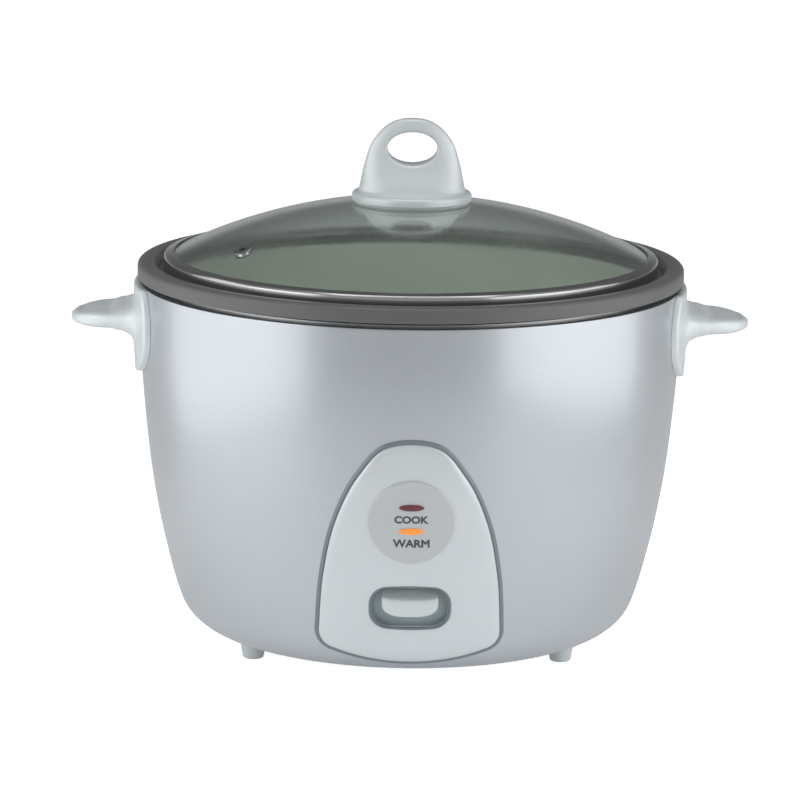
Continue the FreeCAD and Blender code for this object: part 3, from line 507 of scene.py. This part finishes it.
EDGE = panel_edge()
HUB = (0.0, 49.0)
RECESS_HALF_W, RECESS_HALF_H, RECESS_CORNER = 19.0, 10.4, 8.6
RECESS_BACK_Y = -124.0
PANEL_STAND = 3.3
SEAT_LIFT = 0.05
ROUNDING = 1.5
frame_loop = rounded_frame(RECESS_HALF_W, RECESS_HALF_H, RECESS_CORNER, HUB[1])
dense = []
for a, b in zip(frame_loop, frame_loop[1:] + frame_loop[:1]):
    dense += [(a[0] + (b[0] - a[0]) * k / 12, a[1] + (b[1] - a[1]) * k / 12) for k in range(12)]
turns = np.array([math.atan2(z - HUB[1], x - HUB[0]) for x, z in dense])
reach = np.array([math.hypot(x - HUB[0], z - HUB[1]) for x, z in dense])
order = np.argsort(turns)
turns, reach = turns[order], reach[order]
INNER = []
for x, z in EDGE:
    turn = math.atan2(z - HUB[1], x - HUB[0])
    r = float(np.interp(turn, turns, reach, period=2 * PI))
    INNER.append((HUB[0] + r * math.cos(turn), HUB[1] + r * math.sin(turn)))


def panel_lift(x, z, from_recess):
    """How far the panel's face stands off: lower at the arch's top, and dished round the recess."""
    top = 1.5 * ease((z - 110) / 28)
    dish = 1.1 * (1 - ease(from_recess / 7.0))
    return PANEL_STAND - top - dish


def rounded_drop(gone):
    """How far the recess's rounded edge falls back, gone millimetres out from the opening."""
    return ROUNDING - math.sqrt(max(0.0, ROUNDING ** 2 - max(0.0, ROUNDING - gone) ** 2))


# Each loop round the panel's edge is an inset and its share of the full stand-off.
loops = []
for inset, share in ((0, -1.0), (0, 0.42), (0.12, 0.56), (0.45, 0.66), (1.0, 0.74), (2.0, 0.84), (4.0, 0.94)):
    loop = []
    for (x, z), (u, v) in zip(EDGE, INNER):
        span = math.hypot(x - u, z - v)
        t = min(inset / span, 0.4)
        px, pz = x + (u - x) * t, z + (v - z) * t
        lift = panel_lift(px, pz, span - inset) * share if share > 0 else SEAT_LIFT
        loop.append(on_front(px, pz, lift))
    loops.append(loop)
STEPS = 26
for k in range(1, STEPS + 1):
    loop = []
    for (x, z), (u, v) in zip(EDGE, INNER):
        span = math.hypot(x - u, z - v)
        first = min(4.0 / span, 0.4)
        t = first + (1 - first) * (1 - (1 - k / STEPS) ** 1.5)
        gone = (1 - t) * span
        px, pz = x + (u - x) * t, z + (v - z) * t
        lift = panel_lift(px, pz, gone) * (1 - 0.06 * (1 - ease((span - gone - 4.0) / 7.0)))
        loop.append(on_front(px, pz, lift - rounded_drop(gone)))
    loops.append(loop)
# The recess has a short collar behind its edge, and the back closes the form.
loops.append([(u, RECESS_BACK_Y, v) for u, v in INNER])
COLLAR = 0.9
collar = []
for u, v in INNER:
    side_step = math.copysign(COLLAR, u) * min(1, abs(u) / 6)
    height_step = math.copysign(COLLAR, v - HUB[1]) * min(1, abs(v - HUB[1]) / 4)
    collar.append((u + side_step, RECESS_BACK_Y, v + height_step))
loops.append(collar)
loops.append([on_front(x, z, SEAT_LIFT) for x, _, z in collar])
verts, faces = strips(loops)
build("front_panel_face", verts, faces, "housing", "white_plastic", ["front_panel"], sharp=50,
      finish="panel_gloss")

# A fine dark grey strip runs round the recess, just outside its edge: a painted shadow line where the
# recess's rounded edge falls into shade.
outer_track = [math.hypot(u - HUB[0], v - HUB[1]) for u, v in INNER]
loops = []
for gone, rise in ((0.15, -0.3), (0.15, 0.05), (0.5, 0.17), (0.95, 0.22), (1.4, 0.17), (1.75, 0.05),
                   (1.75, -0.3)):
    loop = []
    for (u, v), far in zip(INNER, outer_track):
        px, pz = HUB[0] + (u - HUB[0]) * (1 + gone / far), HUB[1] + (v - HUB[1]) * (1 + gone / far)
        lift = panel_lift(px, pz, gone)
        loop.append(on_front(px, pz, lift - rounded_drop(gone) + rise))
    loops.append(loop)
verts, faces = strips(loops)
build("recess_line", verts, faces, "housing", "bead_grey", sharp=60)

section = [(0.1, 0.05), (0.1, 1.0), (0.4, 1.26), (0.9, 1.34), (1.4, 1.24), (1.85, 0.9), (2.1, 0.5),
           (2.2, 0.05)]
normals = normals_of(EDGE)
loops = [[on_front(x + n[0] * out, z + n[1] * out, lift) for (x, z), n in zip(EDGE, normals)]
         for out, lift in section]
verts, faces = strips(loops)
build("panel_bead_strip", verts, faces, "housing", "bead_grey", ["panel_bead"], sharp=60)


def face_disc(x0, z0, rings, seg=96, squash=1.0):
    """A low round face on the front: each ring is a radius and a lift."""
    loops = []
    for radius, lift in rings:
        loops.append([on_front(x0 + radius * math.cos(2 * PI * k / seg),
                               z0 + squash * radius * math.sin(2 * PI * k / seg), lift) for k in range(seg)])
    return capped(loops)


rings = [(4.0, 3.2), (21.2, 3.2), (21.6, 3.35), (21.6, 3.75), (21.45, 3.93), (21.1, 4.02), (20.4, 4.02),
         (20.1, 3.97), (19.6, 3.94), (14.0, 3.9), (8.0, 3.88), (3.0, 3.88)]
verts, faces = face_disc(0, DISC_Z, rings, 128)
build("indicator_disc_face", verts, faces, "housing", "disc_silver", ["indicator_disc"], sharp=45)
LENS_SQUASH = 0.27
for name, z, slot in (("cook_lamp_lens", 103.2, "lens_red"), ("warm_lamp_lens", 90.8, "lens_amber")):
    rings = [(2.0, 3.2), (6.3, 3.2), (6.3, 4.0), (6.1, 4.35), (5.6, 4.56), (4.6, 4.66), (3.0, 4.69),
             (1.2, 4.7)]
    verts, faces = face_disc(0, z, rings, 64, LENS_SQUASH)
    build(name + "_dome", verts, faces, "housing", slot, [name], sharp=60)


INK_TOP, INK_FOOT = 4.01, 3.8


def lettering(name, text, middle_z, half_w, height):
    """A plain function label, bent to the disc's face as a thin film of ink."""
    curve = bpy.data.curves.new(name, "FONT")
    curve.body = text
    curve.align_x = "CENTER"
    curve.extrude = 0.5
    curve.resolution_u = 5
    curve.bevel_depth = 0.034
    curve.bevel_resolution = 0
    holder = bpy.data.objects.new(name + "_curve", curve)
    SCENE.collection.objects.link(holder)
    bpy.context.view_layer.update()
    mesh = bpy.data.meshes.new_from_object(holder.evaluated_get(bpy.context.evaluated_depsgraph_get()))
    points = [v.co.copy() for v in mesh.vertices]
    faces = [tuple(p.vertices) for p in mesh.polygons]
    bpy.data.objects.remove(holder)
    bpy.data.meshes.remove(mesh)
    x0, x1 = min(p.x for p in points), max(p.x for p in points)
    y0, y1 = min(p.y for p in points), max(p.y for p in points)
    verts = []
    for p in points:
        x = ((p.x - x0) / (x1 - x0) * 2 - 1) * half_w
        z = middle_z + ((p.y - y0) / (y1 - y0) - 0.5) * height
        verts.append(on_front(x, z, INK_TOP if p.z > 0 else INK_FOOT))
    build(name, verts, faces, "housing", "disc_silver", sharp=30, finish="ink")


lettering("cook_label", "COOK", 97.0, 8.5, 3.9)
lettering("warm_label", "WARM", 84.5, 9.2, 4.2)


# ---- cook lever's button ----

side = soft([(-119.6, 44.6, 0.4), (-119.6, 58.0, 0.3), (-122.4, 58.0, 0.9)], 4)
side += arc((-123.2, 57.3), (-126.6, 55.2), (-130.4, 54.1), 10)
side += arc((-131.1, 53.8), (-131.9, 53.4), (-132.2, 52.5), 6)
side += arc((-132.2, 52.0), (-131.8, 48.4), (-130.7, 45.4), 10)
side += arc((-130.5, 45.0), (-130.2, 44.7), (-129.8, 44.6), 5)
mid_y, mid_z = -125.6, 51.0
loops = []
offsets = [0, 0.12, 0.4, 0.8, 1.4, 2.2, 3.2, 4.4, 5.5, 8.0, 11.0]
spots = [-14.1 + o for o in offsets] + [0.0] + [14.1 - o for o in reversed(offsets)]
for x in spots:
    gone = 14.1 - abs(x)
    pinch = 0.9 - math.sqrt(max(0.0, 0.81 - max(0.0, 0.9 - gone) ** 2)) if gone < 0.9 else 0.0
    low = 5.8 * (1 - math.sqrt(max(0.0, 1 - (max(0.0, 10.5 - gone) / 10.5) ** 2)))
    loop = []
    for y, z in side:
        z = 58.0 - (58.0 - z) * (13.4 - low) / 13.4
        y = max(y, -132.2)
        share = 1 - pinch / 6.7
        front = y if y > -119.7 else mid_y + (y - mid_y) * share
        loop.append((x, min(front, -119.6), mid_z + (z - mid_z) * share))
    loops.append(loop)
verts, faces = capped(loops)
build("lever_paddle", verts, faces, "lever", "white_plastic", ["lever_button"], sharp=40)


# ---- handles ----

EAR_ROOT_X, EAR_TIP_X = 150.5, 178.4
EAR_UNDER_Z = 166.6
PLATE_LIFT = 3.65


def superloop(half_w, mid, rise, down, power, seg=112):
    out = []
    for k in range(seg):
        turn = 2 * PI * k / seg
        c, s = math.cos(turn), math.sin(turn)
        y = math.copysign(abs(c) ** (2 / power), c) * half_w
        out.append((y, mid + math.copysign(abs(s) ** (2 / power), s) * (rise if s > 0 else down)))
    return out


def ear_top(x):
    return float(np.interp(x, [145, 150, 158, 164, 170, 175, EAR_TIP_X],
                           [180, 180, 179.9, 179.4, 178.4, 176.8, 174.6]))


def ear_low(x):
    return float(np.interp(x, [145, 158, 166, 171, 176.4, EAR_TIP_X],
                           [168.4, 168.5, 168.7, 169.1, 170.3, 171.6]))


def handle_form(side):
    """One handle as loops that run from the plate's edge in to the ear's root and out to its tip."""
    def plate(grow, lift):
        loop = []
        for y, z in superloop(46 + grow, 171, 32 + grow, 25.5 + grow, 2.3):
            z = min(z, 193.0 + grow)
            loop.append((math.sqrt((wall_r(min(z, 192)) + lift) ** 2 - y * y), y, z))
        return loop

    def ear(x, half_w, top, low, power):
        mid = (top + low) / 2
        return [(x, y, z) for y, z in superloop(half_w, mid, top - mid, mid - low, power)]

    loops = [plate(-6, 0.1), plate(0, 0.1), plate(0, 2.2), plate(-0.2, 2.95), plate(-0.7, 3.4),
             plate(-1.5, 3.6)]
    last = plate(-3.0, PLATE_LIFT)
    loops.append(last)
    root = ear(EAR_ROOT_X, 27.2, 181.6, EAR_UNDER_Z, 2.5)
    for k in range(1, 10):
        t = k / 9
        loop = []
        for (x0, y0, z0), (x1, y1, z1) in zip(last, root):
            y, z = y0 + (y1 - y0) * t, z0 + (z1 - z0) * t
            on_plate = math.sqrt((wall_r(min(z, 192)) + PLATE_LIFT) ** 2 - y * y)
            rise = 1 - math.sqrt(max(0.0, 1 - max(0.0, (t - 0.55) / 0.45) ** 2))
            loop.append((on_plate + max(0.0, x1 - on_plate) * rise, y, z))
        loops.append(loop)
    for k in range(1, 26):
        turn = PI / 2 * (k / 25) ** 0.9
        x = EAR_ROOT_X + (EAR_TIP_X - EAR_ROOT_X) * math.sin(turn)
        swell = 1.2 * (1 - ease((x - EAR_ROOT_X) / 6))
        half = 26.0 * math.cos(turn) + swell
        power = 2.5 + 0.6 * ease((x - EAR_ROOT_X) / 14)
        top = ear_top(x) + 1.7 * (1 - ease((x - EAR_ROOT_X) / 8))
        low = ear_low(x) - 1.8 * (1 - ease((x - EAR_ROOT_X) / 8))
        dish = 1.7 * ease((x - 153) / 6) * ease((176.5 - x) / 5)
        loop = []
        for ex, y, z in ear(x, max(half, 0.7), top, max(low, EAR_UNDER_Z), power):
            if z > (top + low) / 2:
                z -= dish * ease(1.25 - abs(y) / (half * 0.8 + 0.01))
            loop.append((ex, y, z))
        loops.append(loop)
    if side < 0:
        loops = [[(-x, y, z) for x, y, z in loop] for loop in loops]
    return capped(loops)


for name, side in (("right_handle", 1), ("left_handle", -1)):
    verts, faces = handle_form(side)
    handle = build(name + "_grip", verts, faces, "housing", "white_plastic", [name], sharp=48)
    plan = []
    for k in range(41):
        turn = -PI / 2 + PI * k / 40
        plan.append((side * (148.0 + 26.0 * math.cos(turn)), 21.2 * math.sin(turn)))
    loops = [[(x, y, z) for x, y in plan] for z in (160.0, 171.4)]
    cut(handle, [cutter(*capped(loops))], 48)


# ---- inner pan ----

outer = [(0, 72.3, 0), (120.3, 72.3, 33.0), (124.2, 194.0, 2.0), (125.7, 197.4, 1.2), (131.6, 197.4, 0.8),
         (134.6, 201.9, 0.9), (140.2, 202.4, 0.6), (141.9, 201.2, 0.6), (142.1, 196.1, 0.4),
         (143.5, 196.0, 0.5), (143.5, 203.6, 2.6), (139.6, 204.0, 1.2), (134.6, 203.6, 1.4),
         (131.8, 199.0, 0.8), (124.8, 199.0, 1.4), (122.6, 194.0, 2.5), (118.7, 73.9, 31.4), (0, 73.9, 0)]
verts, faces = turn_round(soft(outer, 8), 240)
build("pan_shell", verts, faces, "pan", "pan_coating", ["inner_pan"], sharp=35)


# ---- glass lid, band and vent ----

GLASS_OUT_R, GLASS_IN_R = 280.0, 276.0
GLASS_MID = 236.8 - GLASS_OUT_R
VENT_X, VENT_Y, VENT_R = -86.7, -55.5, 3.2


def dome(radius, r):
    return GLASS_MID + math.sqrt(radius ** 2 - r ** 2)


reaches = [3.6 + (127.9 - 3.6) * k / 44 for k in range(45)]
top = [(r, dome(GLASS_OUT_R, r)) for r in reaches]
low = [(r, dome(GLASS_IN_R, r)) for r in reaches]
edge = [(128.2, dome(GLASS_OUT_R, 128.2) - 0.3), (128.3, 204.6), (128.3, 202.4), (128.1, 201.6)]
section = top + edge + low[::-1]
verts, faces = turn_round(section, 224)
glass = build("lid_glass_dome", verts, faces, "lid", "lid_glass", ["glass_lid"], sharp=60)
ring = [(VENT_R * math.cos(2 * PI * k / 32), VENT_R * math.sin(2 * PI * k / 32)) for k in range(32)]
verts, faces = capped([[(x, y, z) for x, y in ring] for z in (260.0, 300.0)])
out = math.hypot(VENT_X, VENT_Y)
swing = Matrix.Rotation(math.asin(out / GLASS_OUT_R), 4, Vector((-VENT_Y, VENT_X, 0)))
verts = [tuple(swing @ Vector((x, y, z)) + Vector((0, 0, GLASS_MID))) for x, y, z in verts]
cut(glass, [cutter(verts, faces)], 60)

section = soft([(129.8, 199.3, 0.5), (129.8, 206.4, 0.9), (129.0, 207.4, 0.6), (124.6, 208.5, 0.35),
                (124.6, 207.6, 0.3), (125.7, 206.9, 0.2), (125.7, 201.4, 0.2), (124.6, 200.6, 0.3),
                (125.5, 199.3, 0.4)], 6)
verts, faces = turn_round(section, 240)
build("lid_band_strip", verts, faces, "lid", "stainless", ["lid_band"], sharp=40)


# ---- lid knob ----

# The tab's height, half width and half thickness.
KNOB = [(240.0, 28.6, 16.0), (246.0, 27.0, 12.5), (252.0, 25.8, 9.0), (257.5, 24.4, 6.8), (265.5, 21.7, 5.2),
        (271.0, 18.1, 4.6), (276.0, 12.8, 3.9), (278.6, 7.0, 2.6), (279.3, 2.4, 1.2)]
W_LINE = smooth_line([(k[0], k[1]) for k in KNOB], (1, -0.35), (0.05, -1), 8)
T_LINE = smooth_line([(k[0], k[2]) for k in KNOB], (1, -0.7), (0.05, -1), 8)


def knob_w(z):
    return float(np.interp(z, [p[0] for p in W_LINE], [p[1] for p in W_LINE]))


def knob_t(z):
    return float(np.interp(z, [p[0] for p in T_LINE], [p[1] for p in T_LINE]))


def knob_y(x, z):
    """The tab's half thickness at x and z: an ellipse that is a little full at its sides."""
    share = min(abs(x) / max(knob_w(z), 0.01), 1.0)
    return knob_t(z) * (1 - share ** 2.2) ** 0.55


def knob_outline():
    side = [(knob_w(z), z) for z in (240, 242, 244, 246, 248.5, 251, 253.5, 256, 258.5, 261, 263.5, 266, 268,
                                     270, 272, 273.8, 275.3, 276.6, 277.6, 278.4, 278.9)]
    top = [(knob_w(279.2), 279.2), (0.0, 279.3)]
    right = side + top
    low = [(28.6 * k / 12, 240.0) for k in range(0, 12)]
    half = low + right
    return half + [(-x, z) for x, z in reversed(half[1:-1])]


OUT = knob_outline()
LOOP_HALF_W, LOOP_HALF_H, LOOP_Z = 13.0, 8.4, 263.7
LOOP_ROUNDING = 1.8
HOLE = []
for x, z in OUT:
    turn = math.atan2(z - LOOP_Z, x)
    turn = math.atan2(math.sin(turn) * LOOP_HALF_W, math.cos(turn) * LOOP_HALF_H)
    HOLE.append((LOOP_HALF_W * math.cos(turn), LOOP_Z + LOOP_HALF_H * math.sin(turn)))
front = []
TAB_STEPS = 28
for k in range(TAB_STEPS + 1):
    way_in = 1 - (1 - k / TAB_STEPS) ** 1.15
    loop = []
    for (x, z), (u, v) in zip(OUT, HOLE):
        span = math.hypot(x - u, z - v)
        px, pz = x + (u - x) * way_in, z + (v - z) * way_in
        gone = (1 - way_in) * span
        y = knob_y(px, pz)
        if gone < LOOP_ROUNDING:
            y -= min(LOOP_ROUNDING, y * 0.8) * (1 - math.sqrt(max(0.0, 1 - (1 - gone / LOOP_ROUNDING) ** 2)))
        loop.append((px, -y, pz))
    front.append(loop)
inside = [[(u, -knob_y(u, v) * w, v) for u, v in HOLE] for w in (0.18, 0.08)]
loops = front + inside
loops += [[(x, -y, z) for x, y, z in loop] for loop in reversed(loops)]
verts, faces = strips(loops)
build("knob_tab", verts, faces, "lid", "white_plastic", sharp=60)

BASE_R, SCREW_R, BASE_DOME_R = 31.5, 2.5, 281.25
low = [(r, dome(BASE_DOME_R, r)) for r in (SCREW_R, 8, 16, 24, 31.0)]
rounded = soft([(BASE_R, dome(BASE_DOME_R, 31.4), 0.3), (BASE_R, 241.0, 2.3), (SCREW_R, 241.6, 0)], 8)
section = low + rounded[:-1] + [(SCREW_R, 241.4)]
verts, faces = turn_round(section, 160)
build("knob_base", verts, faces, "lid", "white_plastic", ["lid_knob"], sharp=50)


# ---- repeated details, made with Geometry Nodes ----

def along_ring(name, seed_mesh, count, radius, height, phase, body, slot):
    """Copies of a small mesh round a ring, realized into one plain mesh."""
    tree = bpy.data.node_groups.new(name + "_tree", "GeometryNodeTree")
    wanted = {"Count": count, "Radius": radius * MM, "Height": height * MM, "Phase": phase}
    for label, value in wanted.items():
        kind = "NodeSocketInt" if label == "Count" else "NodeSocketFloat"
        socket = tree.interface.new_socket(label, in_out="INPUT", socket_type=kind)
        socket.default_value = value
    tree.interface.new_socket("Geometry", in_out="OUTPUT", socket_type="NodeSocketGeometry")
    nodes, links = tree.nodes, tree.links
    given, end = nodes.new("NodeGroupInput"), nodes.new("NodeGroupOutput")
    circle = nodes.new("GeometryNodeMeshCircle")
    links.new(given.outputs["Count"], circle.inputs["Vertices"])
    links.new(given.outputs["Radius"], circle.inputs["Radius"])
    index = nodes.new("GeometryNodeInputIndex")
    step = nodes.new("ShaderNodeMath")
    step.operation = "DIVIDE"
    links.new(index.outputs["Index"], step.inputs[0])
    links.new(given.outputs["Count"], step.inputs[1])
    turn = nodes.new("ShaderNodeMath")
    turn.operation = "MULTIPLY"
    turn.inputs[1].default_value = 2 * PI
    links.new(step.outputs["Value"], turn.inputs[0])
    spin = nodes.new("ShaderNodeCombineXYZ")
    links.new(turn.outputs["Value"], spin.inputs["Z"])
    seed = nodes.new("GeometryNodeObjectInfo")
    seed.inputs["Object"].default_value = seed_mesh
    seed.inputs["As Instance"].default_value = True
    put = nodes.new("GeometryNodeInstanceOnPoints")
    links.new(circle.outputs["Mesh"], put.inputs["Points"])
    links.new(seed.outputs["Geometry"], put.inputs["Instance"])
    links.new(spin.outputs["Vector"], put.inputs["Rotation"])
    lift = nodes.new("ShaderNodeCombineXYZ")
    links.new(given.outputs["Height"], lift.inputs["Z"])
    swing = nodes.new("ShaderNodeCombineXYZ")
    links.new(given.outputs["Phase"], swing.inputs["Z"])
    move = nodes.new("GeometryNodeTransform")
    links.new(put.outputs["Instances"], move.inputs["Geometry"])
    links.new(lift.outputs["Vector"], move.inputs["Translation"])
    links.new(swing.outputs["Vector"], move.inputs["Rotation"])
    real = nodes.new("GeometryNodeRealizeInstances")
    links.new(move.outputs["Geometry"], real.inputs["Geometry"])
    paint = nodes.new("GeometryNodeSetMaterial")
    paint.inputs["Material"].default_value = FINISH[slot]
    links.new(real.outputs["Geometry"], paint.inputs["Geometry"])
    links.new(paint.outputs["Geometry"], end.inputs["Geometry"])
    holder = bpy.data.objects.new(name + "_holder", bpy.data.meshes.new(name + "_holder"))
    SCENE.collection.objects.link(holder)
    modifier = holder.modifiers.new("repeat", "NODES")
    modifier.node_group = tree
    for item in tree.interface.items_tree:
        if item.in_out == "INPUT":
            modifier[item.identifier] = wanted[item.name]
    bpy.context.view_layer.update()
    seen = holder.evaluated_get(bpy.context.evaluated_depsgraph_get())
    mesh = bpy.data.meshes.new_from_object(seen)
    holder.modifiers.clear()
    bpy.data.objects.remove(holder)
    form = bmesh.new()
    form.from_mesh(mesh)
    shade(form, 40)
    form.to_mesh(mesh)
    form.free()
    piece = bpy.data.objects.new(name, mesh)
    SCENE.collection.objects.link(piece)
    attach(piece, body)
    return piece


def seed_lip(name):
    """The raised lip round one slot: a flat oval ring with a rounded section."""
    track = soft([(8.9, 2.6, 1.6), (8.9, -2.6, 1.6), (-8.9, -2.6, 1.6), (-8.9, 2.6, 1.6)], 3)
    loops = []
    for shrink, z in ((0.0, 0.0), (0.15, -0.35), (0.4, -0.45), (0.65, -0.35), (0.8, 0.0)):
        loops.append([(x - math.copysign(shrink, x), y - math.copysign(shrink, y), z) for x, y in track])
    verts, faces = strips(loops)
    seed = cutter(verts, faces)
    seed.name = name
    return seed


lip = seed_lip("lip_seed")
BASE_UNDER_Z = 8.22
along_ring("base_lips_inner", lip, 8, 28.0, BASE_UNDER_Z, PI / 8, "housing", "white_plastic")
along_ring("base_lips_outer", lip, 16, 52.0, BASE_UNDER_Z, PI / 16, "housing", "white_plastic")
bpy.data.objects.remove(lip)


# ---- camera, lights and floor ----

def place_camera():
    rise, swing, roll = math.radians(11.57), math.radians(-0.7), math.radians(0.763)
    far, aim_x, aim_z = 2.0, -0.00477, 0.1289
    spot = Vector((aim_x, -far * math.cos(rise), aim_z + far * math.sin(rise)))
    data = bpy.data.cameras.new("camera")
    data.lens = 169.8
    data.sensor_width = 36.0
    data.clip_end = 50
    camera = bpy.data.objects.new("camera", data)
    SCENE.collection.objects.link(camera)
    camera.matrix_world = (Matrix.Rotation(swing, 4, "Z") @ Matrix.Translation(spot)
                           @ Matrix.Rotation(PI / 2 - rise, 4, "X") @ Matrix.Rotation(roll, 4, "Z"))
    SCENE.camera = camera


def softbox(name, spot, aim, wide, tall, power, colour=(1, 1, 1)):
    data = bpy.data.lights.new(name, "AREA")
    data.shape = "RECTANGLE"
    data.size = wide
    data.size_y = tall
    data.energy = power
    data.color = colour
    lamp = bpy.data.objects.new(name, data)
    SCENE.collection.objects.link(lamp)
    lamp.location = spot
    lamp.rotation_euler = (Vector(aim) - Vector(spot)).to_track_quat("-Z", "Y").to_euler()


place_camera()
softbox("box_left", (-1.5, -0.75, 0.9), (0, 0, 0.12), 1.0, 1.4, 3.4)
softbox("box_right", (1.5, -0.75, 0.9), (0, 0, 0.12), 1.0, 1.4, 3.0)
softbox("box_top", (0, -0.2, 1.9), (0, 0, 0.2), 1.7, 1.1, 7.2)
softbox("card_left", (-0.38, -0.17, 0.24), (0, -0.13, 0.20), 0.56, 0.44, 0.68)
softbox("card_right", (0.38, -0.24, 0.25), (0, -0.16, 0.20), 0.58, 0.42, 0.72)

world = bpy.data.worlds.new("studio")
world.use_nodes = True
SCENE.world = world
tree = world.node_tree
back = tree.nodes["Background"]
coords = tree.nodes.new("ShaderNodeTexCoord")
parts = tree.nodes.new("ShaderNodeSeparateXYZ")
tree.links.new(coords.outputs["Generated"], parts.inputs["Vector"])


def ramp(source, start, end, low, high):
    node = tree.nodes.new("ShaderNodeMapRange")
    node.interpolation_type = "SMOOTHSTEP"
    for key, value in (("From Min", start), ("From Max", end), ("To Min", low), ("To Max", high)):
        node.inputs[key].default_value = value
    tree.links.new(parts.outputs[source], node.inputs["Value"])
    return node.outputs["Result"]


# Reflections see a studio that is darker above and behind; the view itself is plain white.
behind = tree.nodes.new("ShaderNodeMath")
behind.operation = "MULTIPLY"
tree.links.new(ramp("Y", -0.1, 0.6, 0.0, 0.27), behind.inputs[0])
tree.links.new(ramp("Z", 0.04, 0.22, 0.0, 1.0), behind.inputs[1])
depth = tree.nodes.new("ShaderNodeMath")
depth.operation = "SUBTRACT"
depth.inputs[0].default_value = 0.40
tree.links.new(behind.outputs["Value"], depth.inputs[1])
seen = tree.nodes.new("ShaderNodeLightPath")
mix = tree.nodes.new("ShaderNodeMix")
mix.data_type = "FLOAT"
tree.links.new(seen.outputs["Is Camera Ray"], mix.inputs[0])
tree.links.new(depth.outputs["Value"], mix.inputs[2])
mix.inputs[3].default_value = 1.0
tree.links.new(mix.outputs[0], back.inputs["Strength"])
back.inputs["Color"].default_value = (0.96, 0.985, 1.0, 1)

half = 6.0
grid = bpy.data.meshes.new("floor")
grid.from_pydata([(-half, -half, 0), (half, -half, 0), (half, half, 0), (-half, half, 0)], [], [(0, 1, 2, 3)])
floor = bpy.data.objects.new("floor", grid)
SCENE.collection.objects.link(floor)
pale = surface("pale floor", (0.93, 0.93, 0.93), 0.7, grain=60, shade=0.005, wave=3.0)
looking = pale.add("ShaderNodeLightPath")
glow = pale.span(looking.outputs["Is Camera Ray"], 0.12, 0.8, 0.0, 1.0)
pale.join(glow, pale.main.inputs["Emission Strength"])
pale.main.inputs["Emission Color"].default_value = (1, 1, 1, 1)
grid.materials.append(pale.material)

SCENE.view_settings.view_transform = "Standard"
SCENE.view_settings.look = "None"
